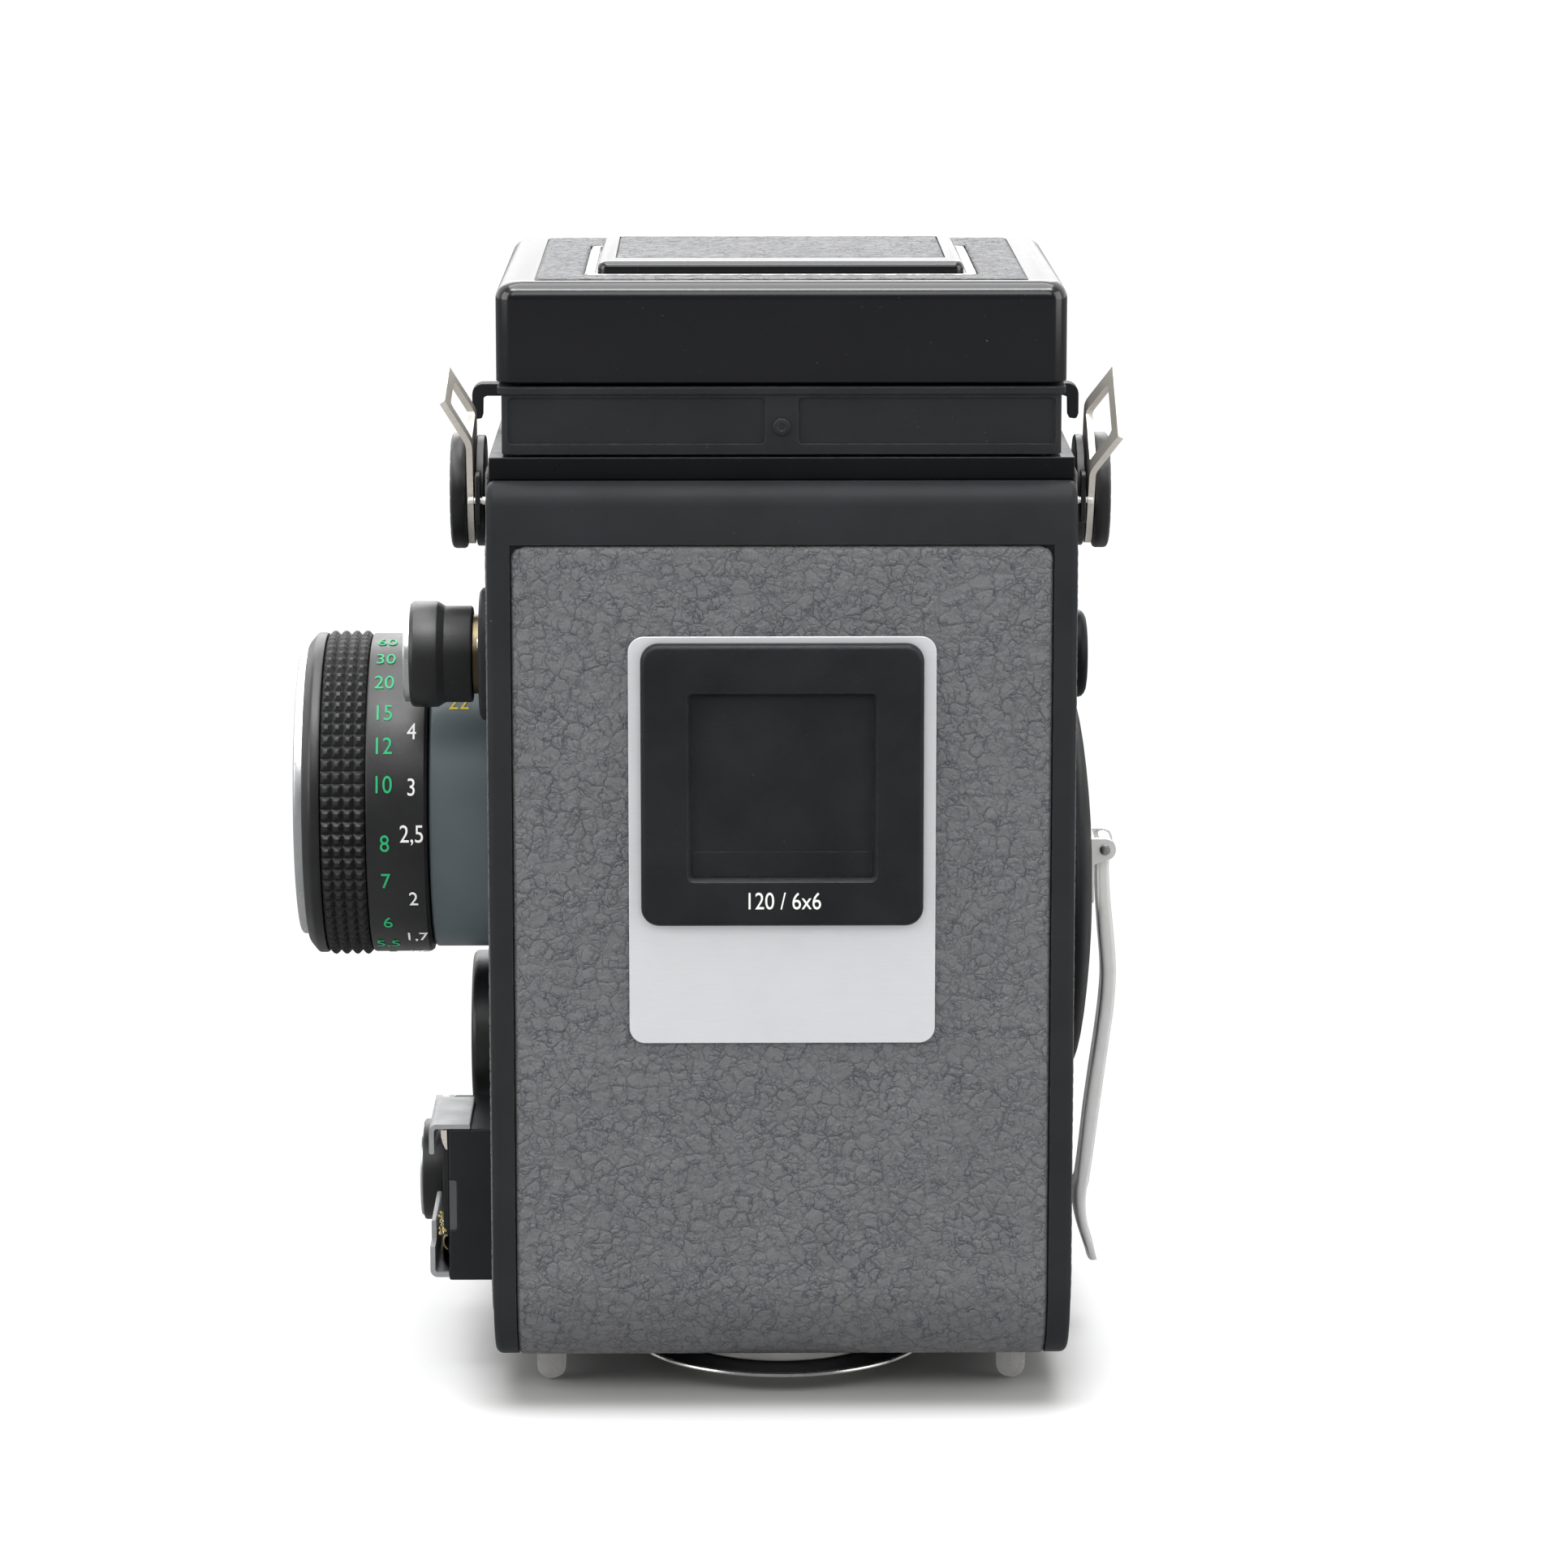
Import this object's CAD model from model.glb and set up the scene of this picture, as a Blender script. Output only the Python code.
import bpy
import bmesh
import math
import numpy as np
from mathutils import Matrix, Vector


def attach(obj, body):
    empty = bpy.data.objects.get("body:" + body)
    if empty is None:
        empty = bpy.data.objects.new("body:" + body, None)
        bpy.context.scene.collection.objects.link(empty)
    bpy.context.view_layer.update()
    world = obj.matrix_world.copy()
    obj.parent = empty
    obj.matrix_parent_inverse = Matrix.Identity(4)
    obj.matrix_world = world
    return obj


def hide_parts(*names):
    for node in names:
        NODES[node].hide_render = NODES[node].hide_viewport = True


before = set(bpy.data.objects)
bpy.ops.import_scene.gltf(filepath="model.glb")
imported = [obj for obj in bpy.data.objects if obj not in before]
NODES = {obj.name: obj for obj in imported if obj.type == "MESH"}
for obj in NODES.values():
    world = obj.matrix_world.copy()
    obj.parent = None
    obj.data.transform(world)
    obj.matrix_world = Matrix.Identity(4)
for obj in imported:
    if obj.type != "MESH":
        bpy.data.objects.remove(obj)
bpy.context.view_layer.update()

# ------------------------------------------------------------------ units and layout
# Drawn in millimetres on body-centred axes, then moved to the frame.
MM = 0.001
SX, SY, SZ = -9.55, 19.0, 0.0
FOCUS = (-6.0, 73.3)
CRANK = (-6.0, 61.5)
PIN = (-43.3, 66.1)
UP, LOW = (18.0, 95.8), (-14.0, 19.5)
STRAP = (6.0, 115.4)
BATT = (-14.0, 38.8)
LATCH_Y = 9.0


# ------------------------------------------------------------------ materials
class Shader:
    def __init__(self, name):
        self.mat = bpy.data.materials.new(name)
        self.mat.use_nodes = True
        self.nt = self.mat.node_tree
        self.b = self.nt.nodes["Principled BSDF"]
        tc = self.nt.nodes.new("ShaderNodeTexCoord")
        mp = self.nt.nodes.new("ShaderNodeMapping")
        mp.inputs["Scale"].default_value = (1000, 1000, 1000)
        self.nt.links.new(tc.outputs["Object"], mp.inputs["Vector"])
        self.co = mp.outputs["Vector"]

    def n(self, kind, **kw):
        x = self.nt.nodes.new(kind)
        for k, v in kw.items():
            if k in x.inputs.keys():
                x.inputs[k].default_value = v
            else:
                setattr(x, k, v)
        return x

    def link(self, a, b):
        self.nt.links.new(a, b)

    def scaled(self, sx, sy, sz):
        mp = self.n("ShaderNodeMapping")
        mp.inputs["Scale"].default_value = (sx, sy, sz)
        self.link(self.co, mp.inputs["Vector"])
        return mp.outputs["Vector"]

    def noise(self, scale, detail=3.0, rough=0.55, vec=None):
        x = self.n("ShaderNodeTexNoise")
        x.inputs["Scale"].default_value = scale
        x.inputs["Detail"].default_value = detail
        x.inputs["Roughness"].default_value = rough
        self.link(vec or self.co, x.inputs["Vector"])
        return x.outputs["Fac"]

    def ramp(self, fac, lo, hi, a=0.0, b=1.0):
        x = self.n("ShaderNodeMapRange")
        x.inputs["From Min"].default_value = lo
        x.inputs["From Max"].default_value = hi
        x.inputs["To Min"].default_value = a
        x.inputs["To Max"].default_value = b
        self.link(fac, x.inputs["Value"])
        return x.outputs["Result"]

    def mix(self, fac, ca, cb):
        x = self.n("ShaderNodeMix")
        x.data_type = 'RGBA'
        for sock, c in ((x.inputs[6], ca), (x.inputs[7], cb)):
            if isinstance(c, tuple):
                sock.default_value = (c[0], c[1], c[2], 1.0)
            else:
                self.link(c, sock)
        if isinstance(fac, float):
            x.inputs[0].default_value = fac
        else:
            self.link(fac, x.inputs[0])
        return x.outputs[2]

    def math(self, op, a, b=0.0):
        x = self.n("ShaderNodeMath", operation=op)
        for i, v in enumerate((a, b)):
            if isinstance(v, (int, float)):
                x.inputs[i].default_value = float(v)
            else:
                self.link(v, x.inputs[i])
        return x.outputs[0]

    def bump(self, height, mm, below=None):
        x = self.n("ShaderNodeBump")
        x.inputs["Strength"].default_value = 1.0
        x.inputs["Distance"].default_value = mm * MM
        self.link(height, x.inputs["Height"])
        if below is not None:
            self.link(below, x.inputs["Normal"])
        return x.outputs["Normal"]

    def edges(self, radius_mm):
        bv = self.n("ShaderNodeBevel")
        bv.samples = 4
        bv.inputs["Radius"].default_value = radius_mm * MM
        g = self.n("ShaderNodeNewGeometry")
        d = self.n("ShaderNodeVectorMath", operation='DOT_PRODUCT')
        self.link(bv.outputs[0], d.inputs[0])
        self.link(g.outputs["Normal"], d.inputs[1])
        return self.ramp(d.outputs["Value"], 0.995, 0.90, 0.0, 1.0)


def paint(name, base, rough, grain=0.004, grain_scale=7.0, wear=0.35, spec=0.22, worn=(0.09, 0.09, 0.095), var=0.25, coat=0.0, rv=0.06):
    s = Shader(name)
    cloud = s.noise(0.09, 4.0)
    dark = tuple(c * (1.0 - var) for c in base)
    light = tuple(c * (1.0 + var) for c in base)
    col = s.mix(s.ramp(cloud, 0.3, 0.7), dark, light)
    if wear > 0:
        e = s.edges(0.22)
        rub = s.ramp(s.noise(0.8, 5.0, 0.7), 0.42, 0.66)
        col = s.mix(s.math('MULTIPLY', s.math('MULTIPLY', e, rub), wear), col, worn)
    dust = s.ramp(s.noise(2.6, 2.0, 0.5), 0.765, 0.80, 0.0, 0.35)
    col = s.mix(dust, col, (0.16, 0.16, 0.16))
    s.link(col, s.b.inputs["Base Color"])
    s.link(s.ramp(s.noise(0.22, 5.0, 0.65), 0.3, 0.7, rough - rv, rough + rv), s.b.inputs["Roughness"])
    s.b.inputs["Specular IOR Level"].default_value = spec
    s.b.inputs["Coat Weight"].default_value = coat
    fine = s.noise(grain_scale, 2.0, 0.5)
    s.link(s.bump(fine, grain * 6.0), s.b.inputs["Normal"])
    return s.mat


def metal(name, base, rough, brush=None, brush_mm=0.004, wear=0.0, metallic=1.0, var=0.07, tint=None):
    s = Shader(name)
    vec = s.scaled(*brush) if brush else s.co
    streak = s.noise(1.0 if brush else 3.0, 4.0, 0.6, vec)
    col = s.mix(s.ramp(streak, 0.3, 0.7), tuple(c * (1 - var) for c in base), tuple(min(1.0, c * (1 + var)) for c in base))
    smudge = s.ramp(s.noise(0.16, 4.0, 0.6), 0.5, 0.72, 0.0, 0.35)
    col = s.mix(smudge, col, tint or tuple(c * 0.78 for c in base))
    s.link(col, s.b.inputs["Base Color"])
    s.b.inputs["Metallic"].default_value = metallic
    s.link(s.ramp(s.noise(0.3, 4.0, 0.6), 0.3, 0.7, max(0.03, rough - 0.04), rough + 0.08), s.b.inputs["Roughness"])
    s.link(s.bump(streak, brush_mm), s.b.inputs["Normal"])
    return s.mat


def leather_mat(name, top, crease, edge=(0.035, 0.034, 0.032)):
    s = Shader(name)
    rim = s.n("ShaderNodeAttribute", attribute_name="rim")

    def shift(vec, scale, mm):
        x = s.n("ShaderNodeTexNoise")
        x.inputs["Scale"].default_value = scale
        x.inputs["Detail"].default_value = 2.0
        s.link(s.co, x.inputs["Vector"])
        d = s.n("ShaderNodeVectorMath", operation='SUBTRACT')
        d.inputs[1].default_value = (0.5, 0.5, 0.5)
        s.link(x.outputs["Color"], d.inputs[0])
        m = s.n("ShaderNodeVectorMath", operation='MULTIPLY_ADD')
        m.inputs[1].default_value = (mm, mm, mm)
        s.link(d.outputs[0], m.inputs[0])
        s.link(vec, m.inputs[2])
        return m.outputs[0]

    def cells(scale, vec):
        x = s.n("ShaderNodeTexVoronoi")
        x.feature = 'DISTANCE_TO_EDGE'
        x.inputs["Scale"].default_value = scale
        x.inputs["Randomness"].default_value = 1.0
        s.link(vec, x.inputs["Vector"])
        return x.outputs["Distance"]
    w = shift(shift(s.co, 0.5, 1.9), 2.0, 0.55)
    v1, v2 = cells(0.50, w), cells(0.98, w)
    s1 = s.ramp(s.noise(0.42, 2.0), 0.36, 0.60, 0.30, 1.0)
    s2 = s.ramp(s.noise(0.55, 2.0, 0.5, s.scaled(1.0, -1.0, 1.3)), 0.40, 0.58, 0.10, 0.85)
    c1 = s.math('MULTIPLY', s.ramp(v1, 0.008, 0.050, 1.0, 0.0), s1)
    c2 = s.math('MULTIPLY', s.ramp(v2, 0.010, 0.062, 1.0, 0.0), s2)
    cr = s.math('MAXIMUM', c1, c2)
    c0 = s.mix(s.ramp(s.noise(0.10, 4.0, 0.6), 0.32, 0.68), tuple(c * 0.92 for c in top), tuple(c * 1.08 for c in top))
    c0 = s.mix(s.ramp(s.noise(3.2, 4.0, 0.65), 0.44, 0.70, 0.0, 0.55), c0, tuple(c * 1.20 for c in top))
    c0 = s.mix(s.ramp(s.noise(1.1, 3.0, 0.6), 0.50, 0.72, 0.0, 0.30), c0, (top[0] * 0.90, top[1] * 0.93, top[2] * 1.02))
    c1m = s.mix(s.math('MULTIPLY', cr, 0.95), c0, crease)
    c2m = s.mix(rim.outputs["Fac"], c1m, edge)
    s.link(c2m, s.b.inputs["Base Color"])
    s.link(s.ramp(cr, 0.0, 1.0, 0.50, 0.75), s.b.inputs["Roughness"])
    s.b.inputs["Specular IOR Level"].default_value = 0.36
    s.b.inputs["Sheen Weight"].default_value = 0.04
    s.b.inputs["Sheen Roughness"].default_value = 0.4
    h = s.math('ADD', s.math('MULTIPLY', s.ramp(v1, 0.0, 0.20), s.math('MULTIPLY', s1, 0.9)), s.math('MULTIPLY', s.ramp(v2, 0.0, 0.16), s.math('MULTIPLY', s2, 0.45)))
    n1 = s.bump(s.noise(5.5, 5.0, 0.7), 0.10)
    n2 = s.bump(s.noise(1.0, 3.0, 0.6), 0.24, n1)
    s.link(s.bump(h, 0.25, n2), s.b.inputs["Normal"])
    return s.mat


def glass_mat(name, tint=(0.82, 0.88, 1.0), coat=(0.28, 0.20, 0.62)):
    s = Shader(name)
    lw = s.n("ShaderNodeLayerWeight")
    lw.inputs["Blend"].default_value = 0.35
    s.link(s.mix(s.ramp(lw.outputs["Facing"], 0.0, 0.9), (0.010, 0.010, 0.016), (0.05, 0.035, 0.10)), s.b.inputs["Base Color"])
    s.b.inputs["Roughness"].default_value = 0.02
    s.b.inputs["Specular IOR Level"].default_value = 0.9
    s.b.inputs["Specular Tint"].default_value = (coat[0] * 1.6, coat[1] * 1.6, coat[2] * 1.6, 1.0)
    s.b.inputs["Coat Weight"].default_value = 0.6
    s.b.inputs["Coat Roughness"].default_value = 0.01
    s.link(s.bump(s.noise(0.04, 1.0), 0.002), s.b.inputs["Normal"])
    return s.mat


def ink(name, rgb, glow=0.0):
    s = Shader(name)
    s.link(s.mix(s.ramp(s.noise(2.5, 4.0), 0.35, 0.7, 0.0, 0.5), rgb, tuple(c * 0.72 for c in rgb)), s.b.inputs["Base Color"])
    s.b.inputs["Roughness"].default_value = 0.55
    s.link(s.bump(s.noise(9.0, 2.0), 0.01), s.b.inputs["Normal"])
    return s.mat


M = {
    "black": paint("satin_black_enamel", (0.0178, 0.0187, 0.0202), 0.42, grain=0.0016, grain_scale=5.0, spec=0.06, var=0.10),
    "lid": paint("lid_black_enamel", (0.0046, 0.0049, 0.0058), 0.15, grain=0.0006, grain_scale=3.0, spec=0.50, var=0.08, wear=0.10, rv=0.015),
    "shell": paint("casting_black", (0.0048, 0.0051, 0.0058), 0.32, grain=0.0016, grain_scale=5.0, spec=0.14, var=0.10),
    "grey": paint("grey_plate", (0.070, 0.071, 0.073), 0.45, grain=0.002, spec=0.3, var=0.08, wear=0.1),
    "dome": paint("dome_black_enamel", (0.0045, 0.0048, 0.0055), 0.42, grain=0.0014, grain_scale=4.0, spec=0.10, var=0.10, wear=0.2),
    "knob": paint("knob_black_anodised", (0.0115, 0.0118, 0.0125), 0.34, grain=0.0035, grain_scale=11.0, wear=0.25, spec=0.42),
    "crinkle": paint("crinkle_black", (0.0095, 0.0102, 0.0112), 0.46, grain=0.011, grain_scale=2.4, wear=0.3, spec=0.22),
    "rubber": paint("rubber_black", (0.0110, 0.0113, 0.0120), 0.50, grain=0.004, grain_scale=9.0, wear=0.15, worn=(0.05, 0.05, 0.055), spec=0.40),
    "matt": paint("matt_blackening", (0.011, 0.0115, 0.012), 0.72, grain=0.006, grain_scale=8.0, wear=0.2),
    "collar": paint("blue_grey_enamel", (0.066, 0.086, 0.094), 0.42, grain=0.002, grain_scale=8.0, wear=0.0, var=0.06, spec=0.4),
    "chrome": metal("bright_chrome", (0.60, 0.60, 0.60), 0.11, brush_mm=0.0015, var=0.02, tint=(0.48, 0.475, 0.46)),
    "frame": metal("frame_chrome", (0.86, 0.86, 0.85), 0.10, brush_mm=0.0015, var=0.02, tint=(0.70, 0.69, 0.67)),
    "nickel": metal("warm_nickel", (0.66, 0.62, 0.56), 0.36, metallic=0.45, brush=(0.8, 0.8, 7.0), brush_mm=0.004, tint=(0.50, 0.47, 0.42)),
    "bronze": metal("dark_bronze", (0.15, 0.12, 0.07), 0.35, brush_mm=0.003, tint=(0.09, 0.07, 0.045)),
    "bright": metal("bright_steel", (0.74, 0.73, 0.70), 0.34, brush=(1.0, 1.0, 9.0), brush_mm=0.003, metallic=0.45, var=0.05, tint=(0.60, 0.585, 0.55)),
    "arm": metal("polished_arm", (0.74, 0.74, 0.73), 0.15, brush_mm=0.0015, metallic=0.50, var=0.02, tint=(0.60, 0.595, 0.58)),
    "foot": metal("foot_steel", (0.40, 0.395, 0.38), 0.26, brush=(9.0, 9.0, 1.0), brush_mm=0.003, metallic=0.60, var=0.05, tint=(0.30, 0.29, 0.27)),
    "steel": metal("stainless", (0.60, 0.595, 0.58), 0.26, brush=(6.0, 1.0, 1.0), brush_mm=0.004, tint=(0.46, 0.43, 0.38)),
    "alu": metal("brushed_aluminium", (0.500, 0.508, 0.520), 0.42, brush=(0.35, 3.0, 9.0), brush_mm=0.0035, metallic=0.22, var=0.025, tint=(0.468, 0.476, 0.488)),
    "alu_turned": metal("turned_aluminium", (0.62, 0.63, 0.64), 0.28, brush_mm=0.003, metallic=0.9, var=0.05),
    "brass": metal("aged_brass", (0.52, 0.38, 0.17), 0.30, brush_mm=0.004, tint=(0.30, 0.20, 0.09)),
    "leather": leather_mat("grey_leather", (0.103, 0.104, 0.106), (0.036, 0.040, 0.052)),
    "glass": glass_mat("coated_glass"),
    "green": ink("ink_green", (0.0, 0.36, 0.13)),
    "white": ink("ink_white", (0.72, 0.72, 0.70)),
    "yellow": ink("ink_yellow", (0.62, 0.50, 0.02)),
    "dark_ink": ink("ink_dark", (0.012, 0.012, 0.014)),
    "red": ink("ink_red", (0.45, 0.02, 0.02)),
    "felt": ink("felt_scrap", (0.34, 0.27, 0.10)),
}


def screen_mat():
    s = Shader("ground_screen")
    g = s.ramp(s.noise(14.0, 2.0), 0.3, 0.7)
    s.link(s.mix(g, (0.36, 0.38, 0.37), (0.46, 0.48, 0.47)), s.b.inputs["Base Color"])
    s.b.inputs["Roughness"].default_value = 0.35
    s.link(s.bump(g, 0.01), s.b.inputs["Normal"])
    return s.mat


def mirror_mat():
    s = Shader("front_mirror")
    s.link(s.mix(s.ramp(s.noise(0.1, 3.0), 0.4, 0.7, 0.0, 0.3), (0.86, 0.87, 0.88), (0.76, 0.77, 0.78)), s.b.inputs["Base Color"])
    s.b.inputs["Metallic"].default_value = 1.0
    s.link(s.ramp(s.noise(0.8, 4.0), 0.4, 0.8, 0.02, 0.09), s.b.inputs["Roughness"])
    return s.mat


M["satin"] = metal("satin_sheet", (0.31, 0.315, 0.32), 0.45, brush=(0.8, 3.0, 0.8), brush_mm=0.003, metallic=0.3, var=0.07, tint=(0.27, 0.275, 0.28))
M["screen"] = screen_mat()
M["mirror"] = mirror_mat()


# ------------------------------------------------------------------ mesh helpers
def lathe(profile, segs, axis, centre, ring=False):
    bm = bmesh.new()
    rows = []
    for a, r in profile:
        n = 1 if r <= 1e-9 else segs
        row = []
        for i in range(n):
            t = 2.0 * math.pi * i / segs
            c, s = r * math.cos(t), r * math.sin(t)
            if axis == 'X':
                p = (a, centre[0] + c, centre[1] + s)
            elif axis == 'Y':
                p = (centre[0] + s, a, centre[1] + c)
            else:
                p = (centre[0] + c, centre[1] + s, a)
            row.append(bm.verts.new(p))
        rows.append(row)
    pairs = [(k, k + 1) for k in range(len(rows) - 1)] + ([(len(rows) - 1, 0)] if ring else [])
    for k, m in pairs:
        ra, rb = rows[k], rows[m]
        if len(ra) == 1 and len(rb) == 1:
            continue
        for i in range(segs):
            j = (i + 1) % segs
            if len(ra) == 1:
                bm.faces.new((ra[0], rb[j], rb[i]))
            elif len(rb) == 1:
                bm.faces.new((ra[i], ra[j], rb[0]))
            else:
                bm.faces.new((ra[i], ra[j], rb[j], rb[i]))
    bmesh.ops.recalc_face_normals(bm, faces=bm.faces)
    return bm


def put(p, h, along):
    return (h, p[0], p[1]) if along == 'X' else (p[0], h, p[1]) if along == 'Y' else (p[0], p[1], h)


def stack(sections, along):
    bm = bmesh.new()
    rows = [[bm.verts.new(put(p, h, along)) for p in poly] for h, poly in sections]
    n = len(rows[0])
    bm.faces.new(rows[0])
    bm.faces.new(rows[-1][::-1])
    for ra, rb in zip(rows[:-1], rows[1:]):
        for i in range(n):
            j = (i + 1) % n
            bm.faces.new((ra[i], ra[j], rb[j], rb[i]))
    bmesh.ops.recalc_face_normals(bm, faces=bm.faces)
    return bm


def prism(poly, lo, hi, along):
    return stack([(lo, poly), (hi, poly)], along)


def rrect(x0, x1, y0, y1, r, n=8):
    pts = []
    for cx, cy, a0 in ((x1 - r, y1 - r, 0), (x0 + r, y1 - r, 90), (x0 + r, y0 + r, 180), (x1 - r, y0 + r, 270)):
        for k in range(n + 1):
            t = math.radians(a0 + 90.0 * k / n)
            pts.append((cx + r * math.cos(t), cy + r * math.sin(t)))
    return pts


def box(x0, x1, y0, y1, z0, z1):
    return prism([(x0, y0), (x1, y0), (x1, y1), (x0, y1)], z0, z1, 'Z')


def arc(cx, cy, r, a0, a1, n):
    return [(cx + r * math.cos(math.radians(a0 + (a1 - a0) * k / n)),
             cy + r * math.sin(math.radians(a0 + (a1 - a0) * k / n))) for k in range(n + 1)]


def cyl(axis, centre, r, lo, hi, segs=40):
    return lathe([(lo, 0.0), (lo, r), (hi, r), (hi, 0.0)], segs, axis, centre)


def combine(a, b, op):
    ma, mb = bpy.data.meshes.new("wa"), bpy.data.meshes.new("wb")
    a.to_mesh(ma)
    b.to_mesh(mb)
    a.free()
    b.free()
    oa, ob = bpy.data.objects.new("wa", ma), bpy.data.objects.new("wb", mb)
    bpy.context.scene.collection.objects.link(oa)
    bpy.context.scene.collection.objects.link(ob)
    md = oa.modifiers.new("c", 'BOOLEAN')
    md.operation, md.solver, md.object = op, 'EXACT', ob
    me = bpy.data.meshes.new_from_object(oa.evaluated_get(bpy.context.evaluated_depsgraph_get()))
    out = bmesh.new()
    out.from_mesh(me)
    for o in (oa, ob):
        bpy.data.objects.remove(o, do_unlink=True)
    for m in (ma, mb, me):
        bpy.data.meshes.remove(m)
    return out


def cut(bm, *tools):
    for t in tools:
        bm = combine(bm, t, 'DIFFERENCE')
    return bm


def join(bm, *more):
    for t in more:
        bm = combine(bm, t, 'UNION')
    return bm


def emit(name, bm, body, mat, replaces=(), bevel=0.0, segs=3, angle=28.0, sharp=32.0):
    bmesh.ops.remove_doubles(bm, verts=bm.verts, dist=2e-4)
    bmesh.ops.dissolve_degenerate(bm, edges=bm.edges, dist=1e-4)
    if bevel > 0:
        bmesh.ops.dissolve_limit(bm, angle_limit=math.radians(0.4), verts=bm.verts, edges=bm.edges)
    bmesh.ops.translate(bm, verts=bm.verts, vec=(SX, SY, SZ))
    bmesh.ops.scale(bm, verts=bm.verts, vec=(MM, MM, MM))
    me = bpy.data.meshes.new(name)
    bm.to_mesh(me)
    bm.free()
    me.materials.append(M[mat] if isinstance(mat, str) else mat)
    ob = bpy.data.objects.new(name, me)
    bpy.context.scene.collection.objects.link(ob)
    if bevel > 0:
        md = ob.modifiers.new("edge", 'BEVEL')
        md.width, md.segments, md.limit_method, md.angle_limit = bevel * MM, segs, 'ANGLE', math.radians(angle)
        md.use_clamp_overlap = True
        md.miter_outer = 'MITER_ARC'
        md.harden_normals = True
        me.shade_smooth()
        me.set_sharp_from_angle(angle=math.radians(70.0))
        wn = ob.modifiers.new("wn", 'WEIGHTED_NORMAL')
        wn.keep_sharp = True
    else:
        me.shade_smooth()
        me.set_sharp_from_angle(angle=math.radians(sharp))
    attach(ob, body)
    if replaces:
        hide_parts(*replaces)
    return ob


def worley(u, v, cell, seed, jitter=0.92):
    rs = np.random.RandomState(seed)
    n = 251
    J = rs.rand(n, n, 2)
    T = rs.rand(n, n)
    gu, gv = u / cell, v / cell
    iu, iv = np.floor(gu).astype(int), np.floor(gv).astype(int)
    f1 = np.full(u.shape, 9.0)
    f2 = np.full(u.shape, 9.0)
    tone = np.zeros(u.shape)
    for du in (-1, 0, 1):
        for dv in (-1, 0, 1):
            cu, cv = iu + du, iv + dv
            a, b = cu % n, cv % n
            px = cu + 0.5 + (J[a, b, 0] - 0.5) * jitter
            py = cv + 0.5 + (J[a, b, 1] - 0.5) * jitter
            d = np.hypot(gu - px, gv - py)
            near = d < f1
            f2 = np.where(near, f1, np.minimum(f2, d))
            tone = np.where(near, T[a, b], tone)
            f1 = np.where(near, d, f1)
    return f1 * cell, f2 * cell, tone


def smooth(x, a, b):
    t = np.clip((x - a) / (b - a), 0, 1)
    return t * t * (3 - 2 * t)


def value_noise(u, v, cell, seed):
    rs = np.random.RandomState(seed)
    n = 127
    G = rs.rand(n, n)
    gu, gv = u / cell, v / cell
    iu, iv = np.floor(gu).astype(int), np.floor(gv).astype(int)
    fu, fv = gu - iu, gv - iv
    fu, fv = fu * fu * (3 - 2 * fu), fv * fv * (3 - 2 * fv)
    a = G[iu % n, iv % n] * (1 - fu) + G[(iu + 1) % n, iv % n] * fu
    b = G[iu % n, (iv + 1) % n] * (1 - fu) + G[(iu + 1) % n, (iv + 1) % n] * fu
    return a * (1 - fv) + b * fv


def grain(u, v, seed):
    # height 0..1, crease 0..1, tone 0..1 of pebbled leather; u, v in mm
    wu = u + 0.55 * (value_noise(u, v, 1.9, seed + 5) - 0.5) + 0.22 * (value_noise(u, v, 0.7, seed + 7) - 0.5)
    wv = v + 0.55 * (value_noise(u, v, 1.9, seed + 6) - 0.5) + 0.22 * (value_noise(u, v, 0.7, seed + 8) - 0.5)
    f1, f2, t = worley(wu, wv * 1.08, 1.75, seed)
    g1, g2, t2 = worley(wu * 1.05, wv, 1.02, seed + 1)
    strong = value_noise(u, v, 2.6, seed + 2)
    e1 = f2 - f1
    e2 = g2 - g1
    c1 = 1 - smooth(e1, 0.02, 0.34)
    c2 = (1 - smooth(e2, 0.02, 0.24)) * smooth(strong, 0.42, 0.75)
    crease = np.maximum(c1 * (0.45 + 0.55 * smooth(value_noise(u, v, 3.3, seed + 9), 0.25, 0.6)), c2 * 0.75)
    dome = smooth(e1, 0.0, 0.85) * 0.75 + smooth(e2, 0.0, 0.5) * 0.25
    h = dome * (1 - 0.55 * crease) + 0.22 * (value_noise(u, v, 0.55, seed + 4) - 0.5)
    return h, crease, t * 0.6 + t2 * 0.4


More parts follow.
